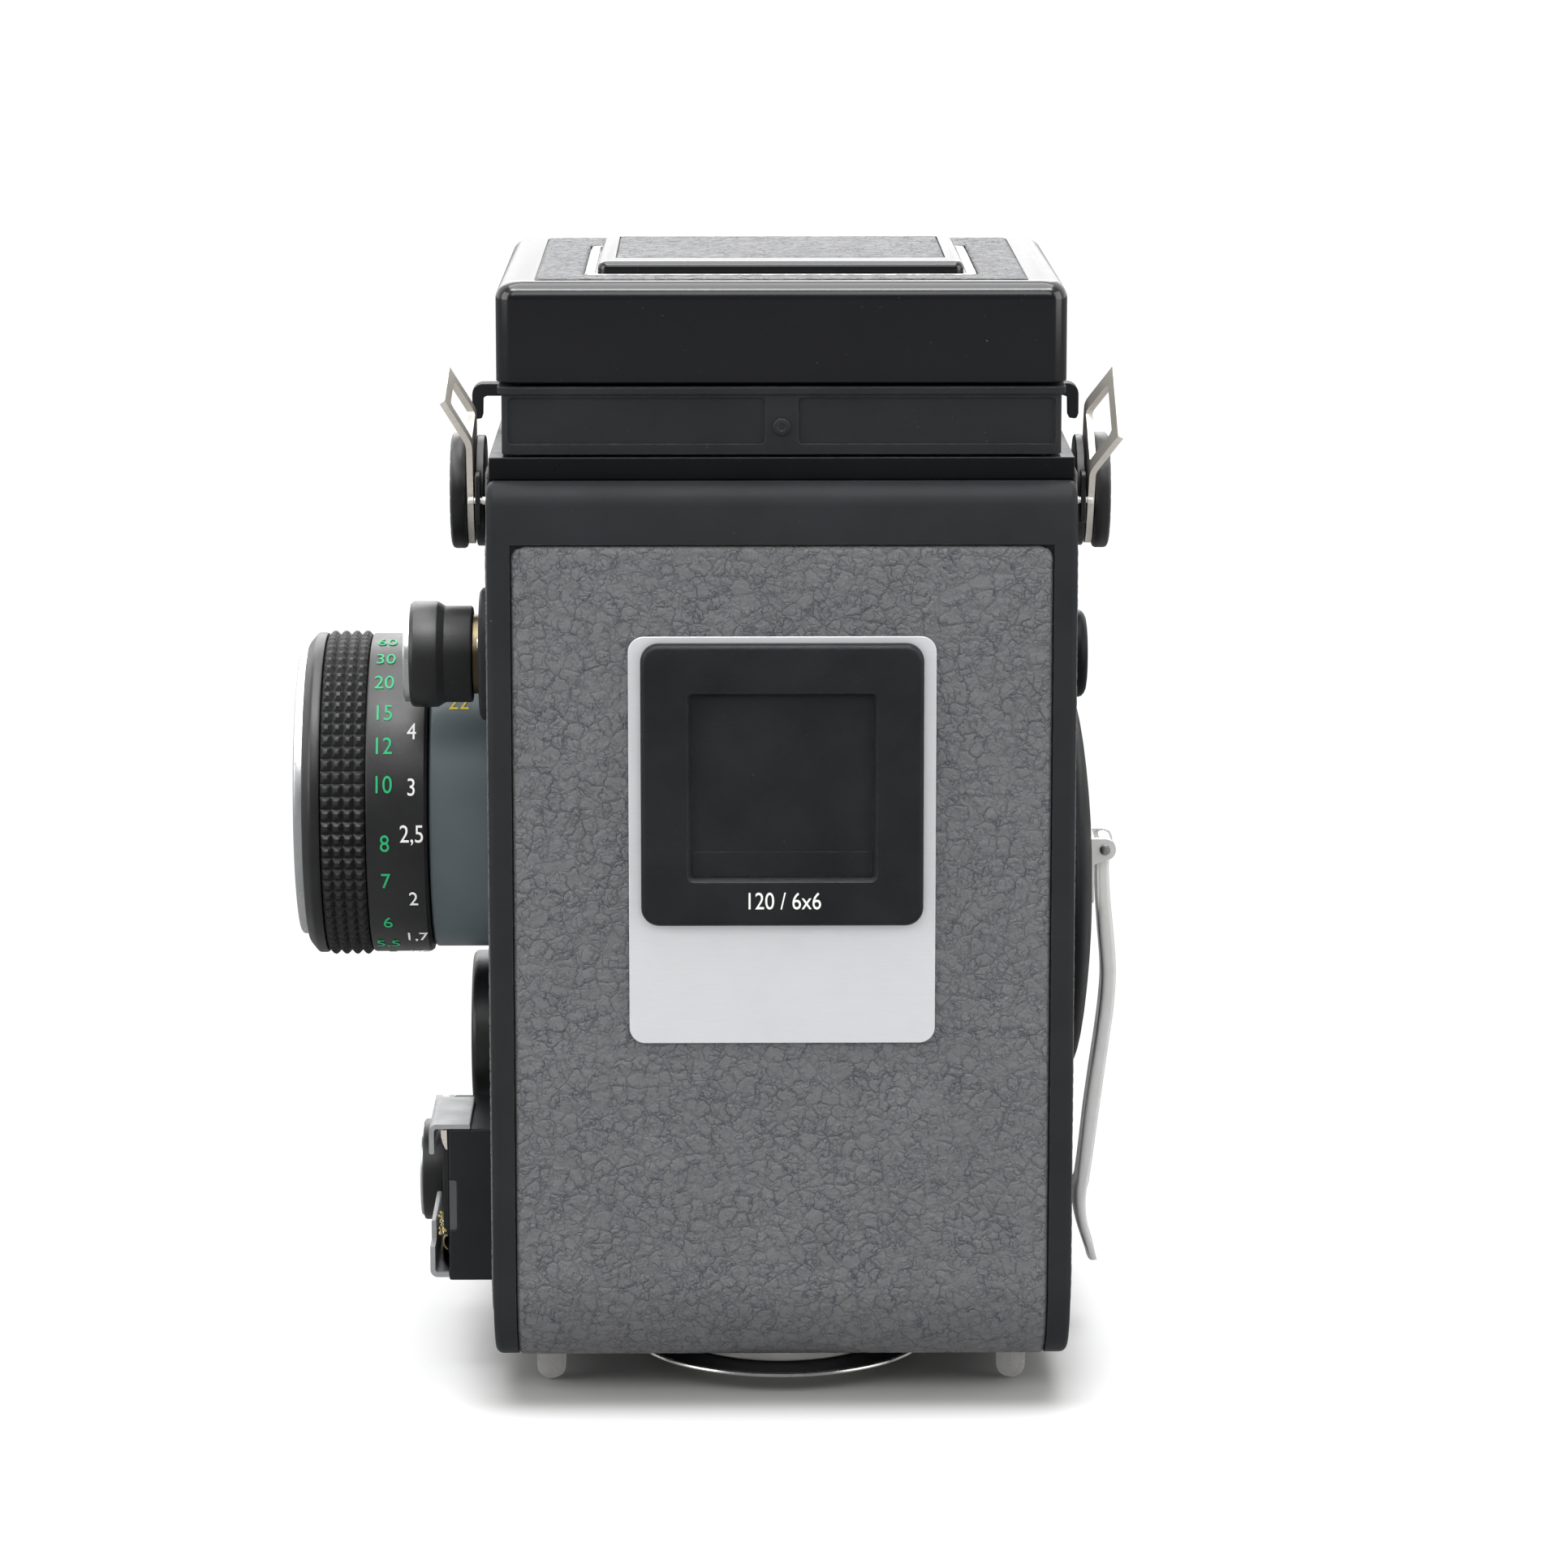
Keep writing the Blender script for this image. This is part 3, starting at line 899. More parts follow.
def focus_knob():
    p = [(35.0, 0.0), (35.0, 3.1), (45.85, 3.1), (45.85, 20.3), (46.0, 20.9), (46.35, 21.15), (53.6, 21.2), (53.82, 21.1), (53.92, 20.9), (53.95, 19.6),
         (59.85, 19.6), (59.85, 20.9), (59.95, 21.2), (60.15, 21.3), (60.95, 21.3), (61.2, 21.22), (61.45, 20.95), (62.1, 20.15), (62.28, 19.85), (62.3, 19.6), (62.3, 19.2), (62.1, 18.95), (62.1, 0.0)]
    emit("focus_drum", lathe(p, 144, 'X', FOCUS), "focus_knob", "knob", ["focus_knob"])
    # rubber grip: four rows of small pyramids
    rows_n, around, per = 4, 80, 6
    x0, x1 = 54.05, 59.75
    ax = rows_n * per
    bm = bmesh.new()
    grid = []
    for i in range(ax + 1):
        u = i / per
        fu = abs((u % 1.0) - 0.5) * 2.0
        row = []
        for j in range(around * per):
            w = j / per
            fw = abs((w % 1.0) - 0.5) * 2.0
            h = 0.62 * min(0.80, 1.0 - max(fu, fw)) / 0.80
            r = 20.95 + h
            t = 2 * math.pi * j / (around * per)
            row.append(bm.verts.new((x0 + (x1 - x0) * i / ax, FOCUS[0] + r * math.cos(t), FOCUS[1] + r * math.sin(t))))
        grid.append(row)
    for x in (x1, x0):
        grid.append([bm.verts.new((x, FOCUS[0] + 19.8 * math.cos(2 * math.pi * j / (around * per)), FOCUS[1] + 19.8 * math.sin(2 * math.pi * j / (around * per)))) for j in range(around * per)])
    m = len(grid)
    nj = around * per
    for i in range(m):
        a, b = grid[i], grid[(i + 1) % m]
        for j in range(nj):
            k = (j + 1) % nj
            bm.faces.new((a[j], a[k], b[k], b[j]))
    bmesh.ops.recalc_face_normals(bm, faces=bm.faces)
    emit("focus_grip_ribbed", bm, "focus_knob", "rubber", ["focus_grip"], sharp=25)
    green = [("60", 78.9), ("30", 65.6), ("20", 52.7), ("15", 39.3), ("12", 26.6), ("10", 12.8), ("8", -8.2), ("7", -22.9), ("6", -43.5), ("5,5", -60.0),
             ("5", -78.0), ("4,5", -100.0), ("4", -124.0), ("3,5", -150.0)]
    emit("scale_green", merge([round_text(t, 3.25, 51.45 + (0.25 if len(t) >= 2 else 0.0), 21.2, a, FOCUS, 0.84) for t, a in green]), "focus_knob", "green")
    white = [("5", 56.0), ("4", 32.0), ("3", 11.9), ("2,5", -4.7), ("2", -30.9), ("1,7", -53.5), ("1,5", -74.0), ("1,3", -100.0), ("1,2", -124.0), ("1", -150.0), ("10", 76.0), ("20", 90.0)]
    emit("scale_white", merge([round_text(t, 3.25 if t != "2,5" else 3.35, 47.9, 21.2, a, FOCUS, 0.80) for t, a in white]), "focus_knob", "white")
    # film speed dial
    prof = [(62.3, 0.0), (62.3, 18.8), (63.1, 18.8), (63.3, 18.72), (63.45, 18.5), (63.5, 18.1), (63.5, 14.2), (63.42, 14.0), (63.42, 12.6), (63.5, 12.4), (63.5, 0.0)]
    emit("speed_dial_face", lathe(prof, 144, 'X', FOCUS), "film_speed_dial", "alu_turned", ["film_speed_dial"])
    # ribbed centre cap
    bm = bmesh.new()
    n = 144
    ra = [(63.9, 8.8), (64.08, 8.45), (64.08, 0.0)]
    rows = []
    for a, r in ra:
        if r == 0.0:
            rows.append([bm.verts.new((a, FOCUS[0], FOCUS[1]))])
        else:
            rows.append([bm.verts.new((a, FOCUS[0] + (r - (0.22 if (j // 2) % 2 else 0.0)) * math.cos(2 * math.pi * j / n), FOCUS[1] + (r - (0.22 if (j // 2) % 2 else 0.0)) * math.sin(2 * math.pi * j / n))) for j in range(n)])
    low = [bm.verts.new((63.4, v.co.y, v.co.z)) for v in rows[0]]
    bm.faces.new(low)
    for a, b in ((low, rows[0]), (rows[0], rows[1])):
        for j in range(n):
            k = (j + 1) % n
            bm.faces.new((a[j], a[k], b[k], b[j]))
    for j in range(n):
        bm.faces.new((rows[1][j], rows[1][(j + 1) % n], rows[2][0]))
    bmesh.ops.recalc_face_normals(bm, faces=bm.faces)
    emit("speed_dial_cap", bm, "film_speed_dial", "knob")
    bits = []
    for i, t in enumerate(("25", "50", "100", "200", "400", "800", "1600", "3200")):
        d = math.radians(90 - 34 * i)
        bits.append(flat_text(t, 2.3, lambda a, b, c, d=d: (63.505 + c * 0.5, FOCUS[0] + 16.2 * math.cos(d) + (a * math.sin(d)) * -1.0 * -1.0 + b * math.cos(d), FOCUS[1] + 16.2 * math.sin(d) - a * math.cos(d) + b * math.sin(d)), 0.8))
    emit("speed_numerals", merge(bits), "film_speed_dial", "dark_ink")


focus_knob()


def spool_knobs():
    emit("knob_escutcheon", lathe([(37.0, 5.6), (37.0, 8.6), (37.9, 8.6), (38.3, 8.45), (38.6, 8.0), (38.6, 6.6), (38.3, 6.4), (38.3, 5.6)], 64, 'X', UP, ring=True),
         "body", "black", ["spool_knob_flange"])
    for i, a in enumerate((20, 140, 260)):
        c = (UP[0] + 7.35 * math.cos(math.radians(a)), UP[1] + 7.35 * math.sin(math.radians(a)))
        emit("escutcheon_screw_%d" % (i + 1), cut(lathe([(38.3, 0.0), (38.3, 0.62), (38.72, 0.62), (38.8, 0.45), (38.8, 0.0)], 20, 'X', c),
                                                  box(38.7, 39.5, c[0] - 0.08, c[0] + 0.08, c[1] - 1, c[1] + 1)), "body", "nickel")
    p = [(31.2, 0.0), (31.2, 2.7), (33.4, 2.7), (33.4, 4.9), (39.45, 4.9), (39.5, 5.9), (39.62, 6.12), (39.8, 6.2), (43.0, 6.2), (43.2, 6.28), (43.95, 6.75),
         (44.1, 6.8), (46.9, 6.8), (47.25, 6.68), (47.5, 6.4), (47.55, 6.2), (47.55, 0.0)]
    emit("spool_knob_upper", lathe(p, 88, 'X', UP), "upper_knob", "knob", ["upper_spool_knob"])
    emit("spool_knob_upper_neck", lathe([(36.2, 4.95), (36.2, 5.12), (39.4, 5.12), (39.4, 4.95)], 48, 'X', UP, ring=True), "upper_knob", "bronze")
    emit("spool_knob_upper_face", lathe([(47.5, 0.0), (47.5, 6.15), (48.1, 6.15), (48.3, 5.95), (48.3, 4.2), (48.18, 4.1), (48.18, 0.0)], 72, 'X', UP), "upper_knob", "alu_turned")
    p = [(31.2, 0.0), (31.2, 2.7), (33.4, 2.7), (33.4, 5.1), (44.35, 5.1), (44.4, 6.6), (44.55, 6.8), (44.7, 6.85)]
    emit("spool_knob_lower", lathe(p + [(47.9, 6.85), (48.15, 6.75), (48.3, 6.4), (48.3, 0.0)], 88, 'X', LOW), "lower_knob", "knob", ["lower_spool_knob"])
    emit("spool_knob_lower_face", lathe([(48.2, 0.0), (48.2, 6.25), (48.45, 6.25), (48.6, 6.1), (48.6, 4.2), (48.5, 4.1), (48.5, 0.0)], 72, 'X', LOW), "lower_knob", "alu_turned")
    # battery cover with a coin slot
    b = lathe([(37.0, 0.0), (37.0, 11.0), (40.5, 11.0), (40.9, 10.9), (41.2, 10.6), (41.3, 10.3), (41.3, 8.2), (41.15, 8.05), (41.15, 0.0)], 96, 'X', BATT)
    b = cut(b, box(40.3, 45, BATT[0] - 6, BATT[0] + 6, BATT[1] - 0.9, BATT[1] + 0.9))
    emit("battery_cap", b, "battery_cover", "knob", ["battery_cover"])


spool_knobs()


def shoe():
    b = cut(box(37.1, 43.62, -3.8, 15.5, 11.9, 32.35), box(42.6, 45, 12, 20, 18.8, 25.4))
    emit("shoe_block", b, "body", "black", ["shoe_base"], bevel=0.3, segs=3)
    # one folded sheet: web, upper flange reaching back over the block, two turned-over lips
    poly = ([(43.65, 12.35)] + arc(45.1, 13.35, 1.0, -90, 0, 7) + [(46.1, 18.85), (45.97, 19.0), (45.58, 19.0), (45.45, 18.85), (45.45, 13.5)]
            + arc(45.0, 13.45, 0.45, 0, -90, 5)[1:] + [(44.3, 13.0), (44.3, 32.4)] + arc(45.0, 31.95, 0.45, 90, 0, 5) + [(45.45, 29.15), (45.58, 29.0), (45.97, 29.0), (46.1, 29.15)]
            + arc(45.1, 32.0, 1.0, 0, 90, 7) + [(40.85, 33.0), (40.7, 32.88), (40.7, 32.4), (43.65, 32.4)])
    sh = cut(prism(poly, -3.8, 15.5, 'Y'), box(45.3, 47.0, 11.5, 16.0, 16.5, 20.0), box(43.0, 44.42, 9.0, 16.0, 13.02, 32.38), box(40.0, 47.0, -5.0, 0.0, 32.36, 34.0))
    emit("shoe_web_liner", box(43.6, 44.3, 8.95, 15.42, 18.2, 32.36), "body", "matt", bevel=0.08, segs=2)
    emit("shoe_notch_plate", box(42.5, 43.55, 14.6, 15.3, 18.7, 25.5), "body", "grey", bevel=0.05, segs=2)
    emit("shoe_folded_rails", sh, "body", "satin", ["shoe_rails"], bevel=0.09, segs=2, angle=40)
    emit("shoe_contact", prism([(44.55, 32.2), (43.75, 32.2), (43.7, 29.6), (43.95, 29.7), (44.3, 30.5), (44.5, 31.3)], 15.38, 15.5, 'Y'), "body", "nickel", bevel=0.03, segs=2)

    def sheet(line, half):
        pts_l, pts_r = [], []
        for i, q in enumerate(line):
            a = line[max(0, i - 1)]
            b = line[min(len(line) - 1, i + 1)]
            d = Vector((b[0] - a[0], b[1] - a[1])).normalized()
            nrm = (-d[1], d[0])
            pts_l.append((q[0] + nrm[0] * half, q[1] + nrm[1] * half))
            pts_r.append((q[0] - nrm[0] * half, q[1] - nrm[1] * half))
        return pts_l + pts_r[::-1]
    sp = [(43.72, 18.05), (44.05, 17.95), (44.26, 17.65), (44.33, 17.2), (44.26, 16.75), (44.05, 16.4), (43.8, 16.15)]
    emit("shoe_leaf_spring", prism(sheet(sp, 0.09), 9.0, 15.52, 'Y'), "body", "brass", bevel=0.03, segs=2)
    sp = [(44.48, 16.5), (44.52, 15.6), (44.45, 14.7), (44.2, 14.0), (43.8, 13.45)]
    emit("shoe_tension_leaf", prism(sheet(sp, 0.12), 2.0, 15.45, 'Y'), "body", "matt", bevel=0.04, segs=2)
    rs = np.random.RandomState(5)
    tufts = []
    for k in range(26):
        x, y, z = 44.5 + rs.uniform(-0.42, 0.38), 15.15 + rs.uniform(-0.3, 0.3), 18.2 + 2.9 * rs.rand()
        r = rs.uniform(0.10, 0.26)
        f = bmesh.new()
        bmesh.ops.create_icosphere(f, subdivisions=2, radius=r)
        for v in f.verts:
            v.co = Vector((x, y, z)) + v.co * rs.uniform(0.8, 1.25)
        tufts.append(f)
    emit("shoe_felt_scrap", merge(tufts), "body", "felt", sharp=180)


shoe()


# ------------------------------------------------------------------ strap clips
def strap_clips():
    for tag, sg, swing in (("left", 1.0, 11.0), ("right", -1.0, 31.0)):
        prof = [(37.0, 0.0), (37.0, 3.0), (38.15, 3.0), (38.15, 7.0), (38.3, 7.2), (39.15, 7.2), (39.3, 7.0), (39.3, 2.2), (40.5, 2.2), (40.5, 7.05), (40.62, 7.33), (40.9, 7.5), (42.0, 7.5), (42.3, 7.42),
                (42.5, 7.15), (42.6, 6.8), (42.6, 5.95), (42.5, 5.6), (42.3, 5.25), (42.2, 4.9), (42.2, 1.95), (42.25, 1.8), (42.5, 1.75), (42.6, 1.55), (42.6, 0.0)]
        d = lathe([(sg * a, r) for a, r in prof], 96, 'X', STRAP)
        # dimpled rim
        cutters = [lathe([(sg * 42.1, 0.0), (sg * 42.1, 0.4), (sg * 43.5, 0.66), (sg * 43.5, 0.0)], 10, 'X',
                         (STRAP[0] + 6.45 * math.cos(2 * math.pi * i / 18), STRAP[1] + 6.45 * math.sin(2 * math.pi * i / 18))) for i in range(18)]
        d = cut(d, merge(cutters))
        emit("strap_lug_" + tag, d, "body", "knob", ["strap_stud_" + tag])
        emit("strap_pin_" + tag, lathe([(sg * 42.3, 0.0), (sg * 42.3, 1.45), (sg * 42.7, 1.4), (sg * 42.85, 1.1), (sg * 42.9, 0.0)], 32, 'X', STRAP), "body", "brass")
        ear = prism([(5.2, -3.3), (8.2, -3.3), (8.75, -2.9), (8.9, -2.4), (8.9, 2.6), (8.7, 3.1), (8.2, 3.4), (5.2, 3.4)], 38.6, 39.25, 'X')
        if sg < 0:
            ear = prism([(5.2, -3.3), (8.2, -3.3), (8.75, -2.9), (8.9, -2.4), (8.9, 2.6), (8.7, 3.1), (8.2, 3.4), (5.2, 3.4)], -39.25, -38.6, 'X')
        bmesh.ops.translate(ear, verts=ear.verts, vec=(0, STRAP[0], STRAP[1]))
        emit("strap_stop_ear_" + tag, ear, "body", "knob", bevel=0.12, segs=2)
        emit("strap_stop_pin_" + tag, lathe([(sg * 37.8, 0.0), (sg * 37.8, 0.42), (sg * 37.92, 0.52), (sg * 38.3, 0.52), (sg * 38.4, 0.40), (sg * 39.4, 0.40), (sg * 39.5, 0.52), (sg * 40.05, 0.52),
                                             (sg * 40.15, 0.42), (sg * 40.15, 0.0)], 24, 'X', (STRAP[0] + 8.3, STRAP[1] - 0.25)), "body", "bright")
        # stirrup: ring end, tongue bent outward with a rounded bend, wide window
        line = [(39.95, -7.2), (39.95, 7.8), (40.0, 8.35), (40.16, 8.9), (40.48, 9.5), (43.3, 14.3)]
        L, R = [], []
        for i, q in enumerate(line):
            a, b = line[max(0, i - 1)], line[min(len(line) - 1, i + 1)]
            n = Vector((b[0] - a[0], b[1] - a[1])).normalized()
            L.append((q[0] + n[1] * 0.40, q[1] - n[0] * 0.40))
            R.append((q[0] - n[1] * 0.40, q[1] + n[0] * 0.40))
        st = prism([(sg * x, z) for x, z in L + R[::-1]], -8.0, 8.0, 'Y')
        lo, hi = (36.0, 50.0) if sg > 0 else (-50.0, -36.0)
        outline = arc(0.0, 0.0, 6.9, 184, 356, 24) + [(7.0, 2.0), (7.15, 4.0), (7.32, 8.9), (7.32, 15.0)] + [(-7.32, 15.0), (-7.32, 8.9), (-7.15, 4.0), (-7.0, 2.0)]
        st = combine(st, prism(outline, lo, hi, 'X'), 'INTERSECT')
        window = [(4.8, 8.7), (5.1, 9.05), (5.0, 13.0), (4.6, 13.4), (-4.6, 13.4), (-5.0, 13.0), (-5.1, 9.05), (-4.8, 8.7)]
        st = cut(st, cyl('X', (0.0, 0.0), 2.5, -60, 60, 32), prism(window, lo, hi, 'X'))
        bmesh.ops.rotate(st, verts=st.verts, cent=(0, 0, 0), matrix=Matrix.Rotation(-math.radians(swing), 3, 'X'))
        bmesh.ops.translate(st, verts=st.verts, vec=(0, STRAP[0], STRAP[1]))
        emit("strap_clip_" + tag, st, "stirrup_" + tag, "nickel", ["strap_stirrup_" + tag], bevel=0.10, segs=2, angle=35)
        ox = 40.6 if sg > 0 else 39.7
        cp = [(36.1, 127.5), (ox - 1.25, 127.5), (ox - 0.75, 127.35), (ox - 0.3, 127.0), (ox - 0.08, 126.6), (ox, 126.1), (ox, 123.5), (ox - 0.2, 122.95), (ox - 0.45, 122.8), (ox - 1.2, 122.9),
              (ox - 1.35, 123.1), (ox - 1.4, 125.3), (ox - 1.6, 125.75), (ox - 2.0, 125.9), (36.1, 125.9)]
        c = prism([(sg * x, z) for x, z in cp], -13.0, -9.6, 'Y')
        emit("hood_hook_" + tag, c, "catch_" + tag, "black", ["hood_catch_" + tag], bevel=0.14, segs=3)


strap_clips()


# ------------------------------------------------------------------ crank side
def crank():
    p = [(-37.0, 5.4), (-37.0, 25.2)]
    p += [(-37.3, 25.45), (-37.8, 25.5), (-38.3, 25.4), (-38.75, 25.05), (-39.15, 24.4), (-39.5, 23.4), (-39.85, 21.9), (-40.25, 19.6), (-40.6, 17.0), (-40.9, 14.4),
          (-41.12, 12.0), (-41.25, 10.0), (-41.2, 9.6), (-41.1, 9.3), (-40.95, 9.05), (-40.85, 8.8), (-40.85, 5.4)]
    emit("crank_dome", lathe(p, 144, 'X', CRANK, ring=True), "body", "dome", ["crank_boss"])
    emit("counter_dome", lathe([(-37.0, 0.0), (-37.0, 5.65), (-38.6, 5.65), (-39.0, 5.5), (-39.3, 5.15), (-39.5, 4.7), (-39.62, 3.9), (-39.7, 2.6), (-39.7, 0.0)], 64, 'X', (12.0, 94.8)),
         "body", "dome", ["counter_cap"])
    emit("counter_window_ring", lathe([(-37.3, 2.6), (-37.3, 4.6), (-37.95, 4.5), (-38.05, 4.3), (-38.05, 2.7)], 56, 'X', (-22.0, 101.5), ring=True), "body", "chrome")
    emit("counter_window_glass", lathe([(-37.3, 0.0), (-37.3, 2.65), (-37.8, 2.65), (-37.95, 1.5), (-38.0, 0.0)], 40, 'X', (-22.0, 101.5)), "body", "glass")
    hub = lathe([(-35.0, 0.0), (-35.0, 3.1), (-39.2, 3.1), (-39.2, 5.1), (-41.2, 5.1), (-41.4, 4.9), (-41.4, 0.0)], 64, 'X', CRANK)
    c = CRANK[0]
    ear = [(-41.5, 63.9), (-43.3, 64.65)] + arc(PIN[0], PIN[1], 1.45, 250, 90, 14) + [(-41.5, 67.55)]
    hub = join(hub, prism(rrect(c - 4.3, c + 4.3, 58.6, 67.6, 1.6, 6), -41.9, -41.2, 'X'),
               prism(ear, c - 4.3, c - 3.2, 'Y'), prism(ear, c + 3.2, c + 4.3, 'Y'), cyl('Y', PIN, 0.72, c - 4.0, c + 4.0, 24))
    emit("crank_yoke", hub, "crank_hub", "arm", ["crank_hub"], bevel=0.10, segs=2, angle=38)
    emit("crank_pin_cap_rear", lathe([(c + 4.25, 0.0), (c + 4.25, 0.75), (c + 4.5, 0.7), (c + 4.62, 0.35), (c + 4.65, 0.0)], 28, 'Y', PIN), "crank_hub", "steel")
    emit("crank_pin_cap_front", lathe([(c - 4.25, 0.0), (c - 4.25, 0.75), (c - 4.5, 0.7), (c - 4.62, 0.35), (c - 4.65, 0.0)], 28, 'Y', PIN), "crank_hub", "steel")

    # swept arm: stations (z, x inner, x outer, half width), smoothed along the length
    st = [(66.1, -42.1, -44.2, 2.8), (64.0, -42.1, -43.85, 2.8), (62.0, -42.15, -43.95, 2.85), (58.0, -42.35, -44.25, 2.9), (54.0, -42.65, -44.7, 2.9), (50.5, -43.0, -45.0, 2.9),
          (48.0, -43.1, -45.05, 2.9), (44.0, -42.8, -44.8, 2.9), (40.0, -42.3, -44.25, 2.9), (35.0, -41.6, -43.6, 2.9), (30.0, -40.95, -42.95, 2.95), (26.0, -40.55, -42.45, 3.05),
          (22.5, -40.2, -42.0, 3.3), (20.5, -39.95, -41.65, 3.9), (18.5, -39.8, -41.35, 4.35), (16.5, -39.9, -41.3, 4.5), (14.5, -40.3, -41.65, 4.5), (12.5, -40.95, -42.15, 4.4),
          (11.0, -41.45, -42.6, 4.1), (10.0, -41.8, -42.92, 3.5), (9.4, -42.1, -43.12, 2.6)]
    A = np.array(st)
    zz = np.linspace(66.1, 9.4, 90)
    cols = [np.interp(-zz, -A[:, 0], A[:, q]) for q in (1, 2, 3)]
    ker = np.array([1, 2, 3, 4, 3, 2, 1]) / 16.0
    cols = [np.convolve(np.pad(q, 3, mode='edge'), ker, mode='valid') for q in cols]
    st = [(float(z), float(a), float(b), float(w)) for z, a, b, w in zip(zz, *cols)]
    bm = bmesh.new()
    rows = []
    nseg = 32
    for i, (z, xi, xo, hw) in enumerate(st):
        a, b = st[max(0, i - 1)], st[min(len(st) - 1, i + 1)]
        row = []
        cx, hx = (xi + xo) / 2, abs(xo - xi) / 2
        dish = 0.35 if z < 20 else 0.12
        for j in range(nseg):
            t = 2 * math.pi * j / nseg
            ca, sa = math.cos(t), math.sin(t)
            py = math.copysign(abs(ca) ** 0.30, ca) * hw
            px = math.copysign(abs(sa) ** 0.42, sa) * hx
            px += dish * (1 - (py / hw) ** 2) * (1 if z < 20 else -1) * 0.9
            row.append(bm.verts.new((cx + px, c + py, z)))
        rows.append(row)
    for ra, rb in zip(rows[:-1], rows[1:]):
        for j in range(nseg):
            k = (j + 1) % nseg
            bm.faces.new((ra[j], ra[k], rb[k], rb[j]))
    bm.faces.new(rows[0])
    bm.faces.new(rows[-1][::-1])
    bmesh.ops.recalc_face_normals(bm, faces=bm.faces)
    eye = cyl('Y', PIN, 1.3, c - 2.85, c + 2.85, 32)
    bm = join(bm, eye)
    bm = cut(bm, cyl('Y', PIN, 0.9, -30, 30, 28))
    emit("crank_lever", bm, "crank_arm", "arm", ["crank_arm"], sharp=60)


crank()


# ------------------------------------------------------------------ front standard and lenses
def knurled(a0, a1, r, depth, axis, centre, count, core_top, chamfer=0.5, base=None):
    # disc with a straight-knurled rim; along 'Y' from a0 (rear) to a1 (front)
    bm = bmesh.new()
    n = count * 4
    sgn = 1 if a1 > a0 else -1
    prof = [(a0, r - 0.25, 0.0), (a0 + sgn * 0.25, r, 1.0), (a1 - sgn * chamfer, r, 1.0), (a1 - sgn * 0.05, r - chamfer * 0.8, 0.2), (a1, r - chamfer, 0.0), (a1, core_top, 0.0)]
    rows = []
    for a, rr, k in prof:
        row = []
        for j in range(n):
            t = 2 * math.pi * j / n
            q = rr - depth * k * (1.0 if j % 4 in (2, 3) else 0.0)
            row.append(bm.verts.new((centre[0] + q * math.sin(t), a, centre[1] + q * math.cos(t))))
        rows.append(row)
    for ra, rb in zip(rows[:-1], rows[1:]):
        for j in range(n):
            k = (j + 1) % n
            bm.faces.new((ra[j], ra[k], rb[k], rb[j]))
    bm.faces.new(rows[0])
    bm.faces.new(rows[-1][::-1])
    bmesh.ops.recalc_face_normals(bm, faces=bm.faces)
    return bm


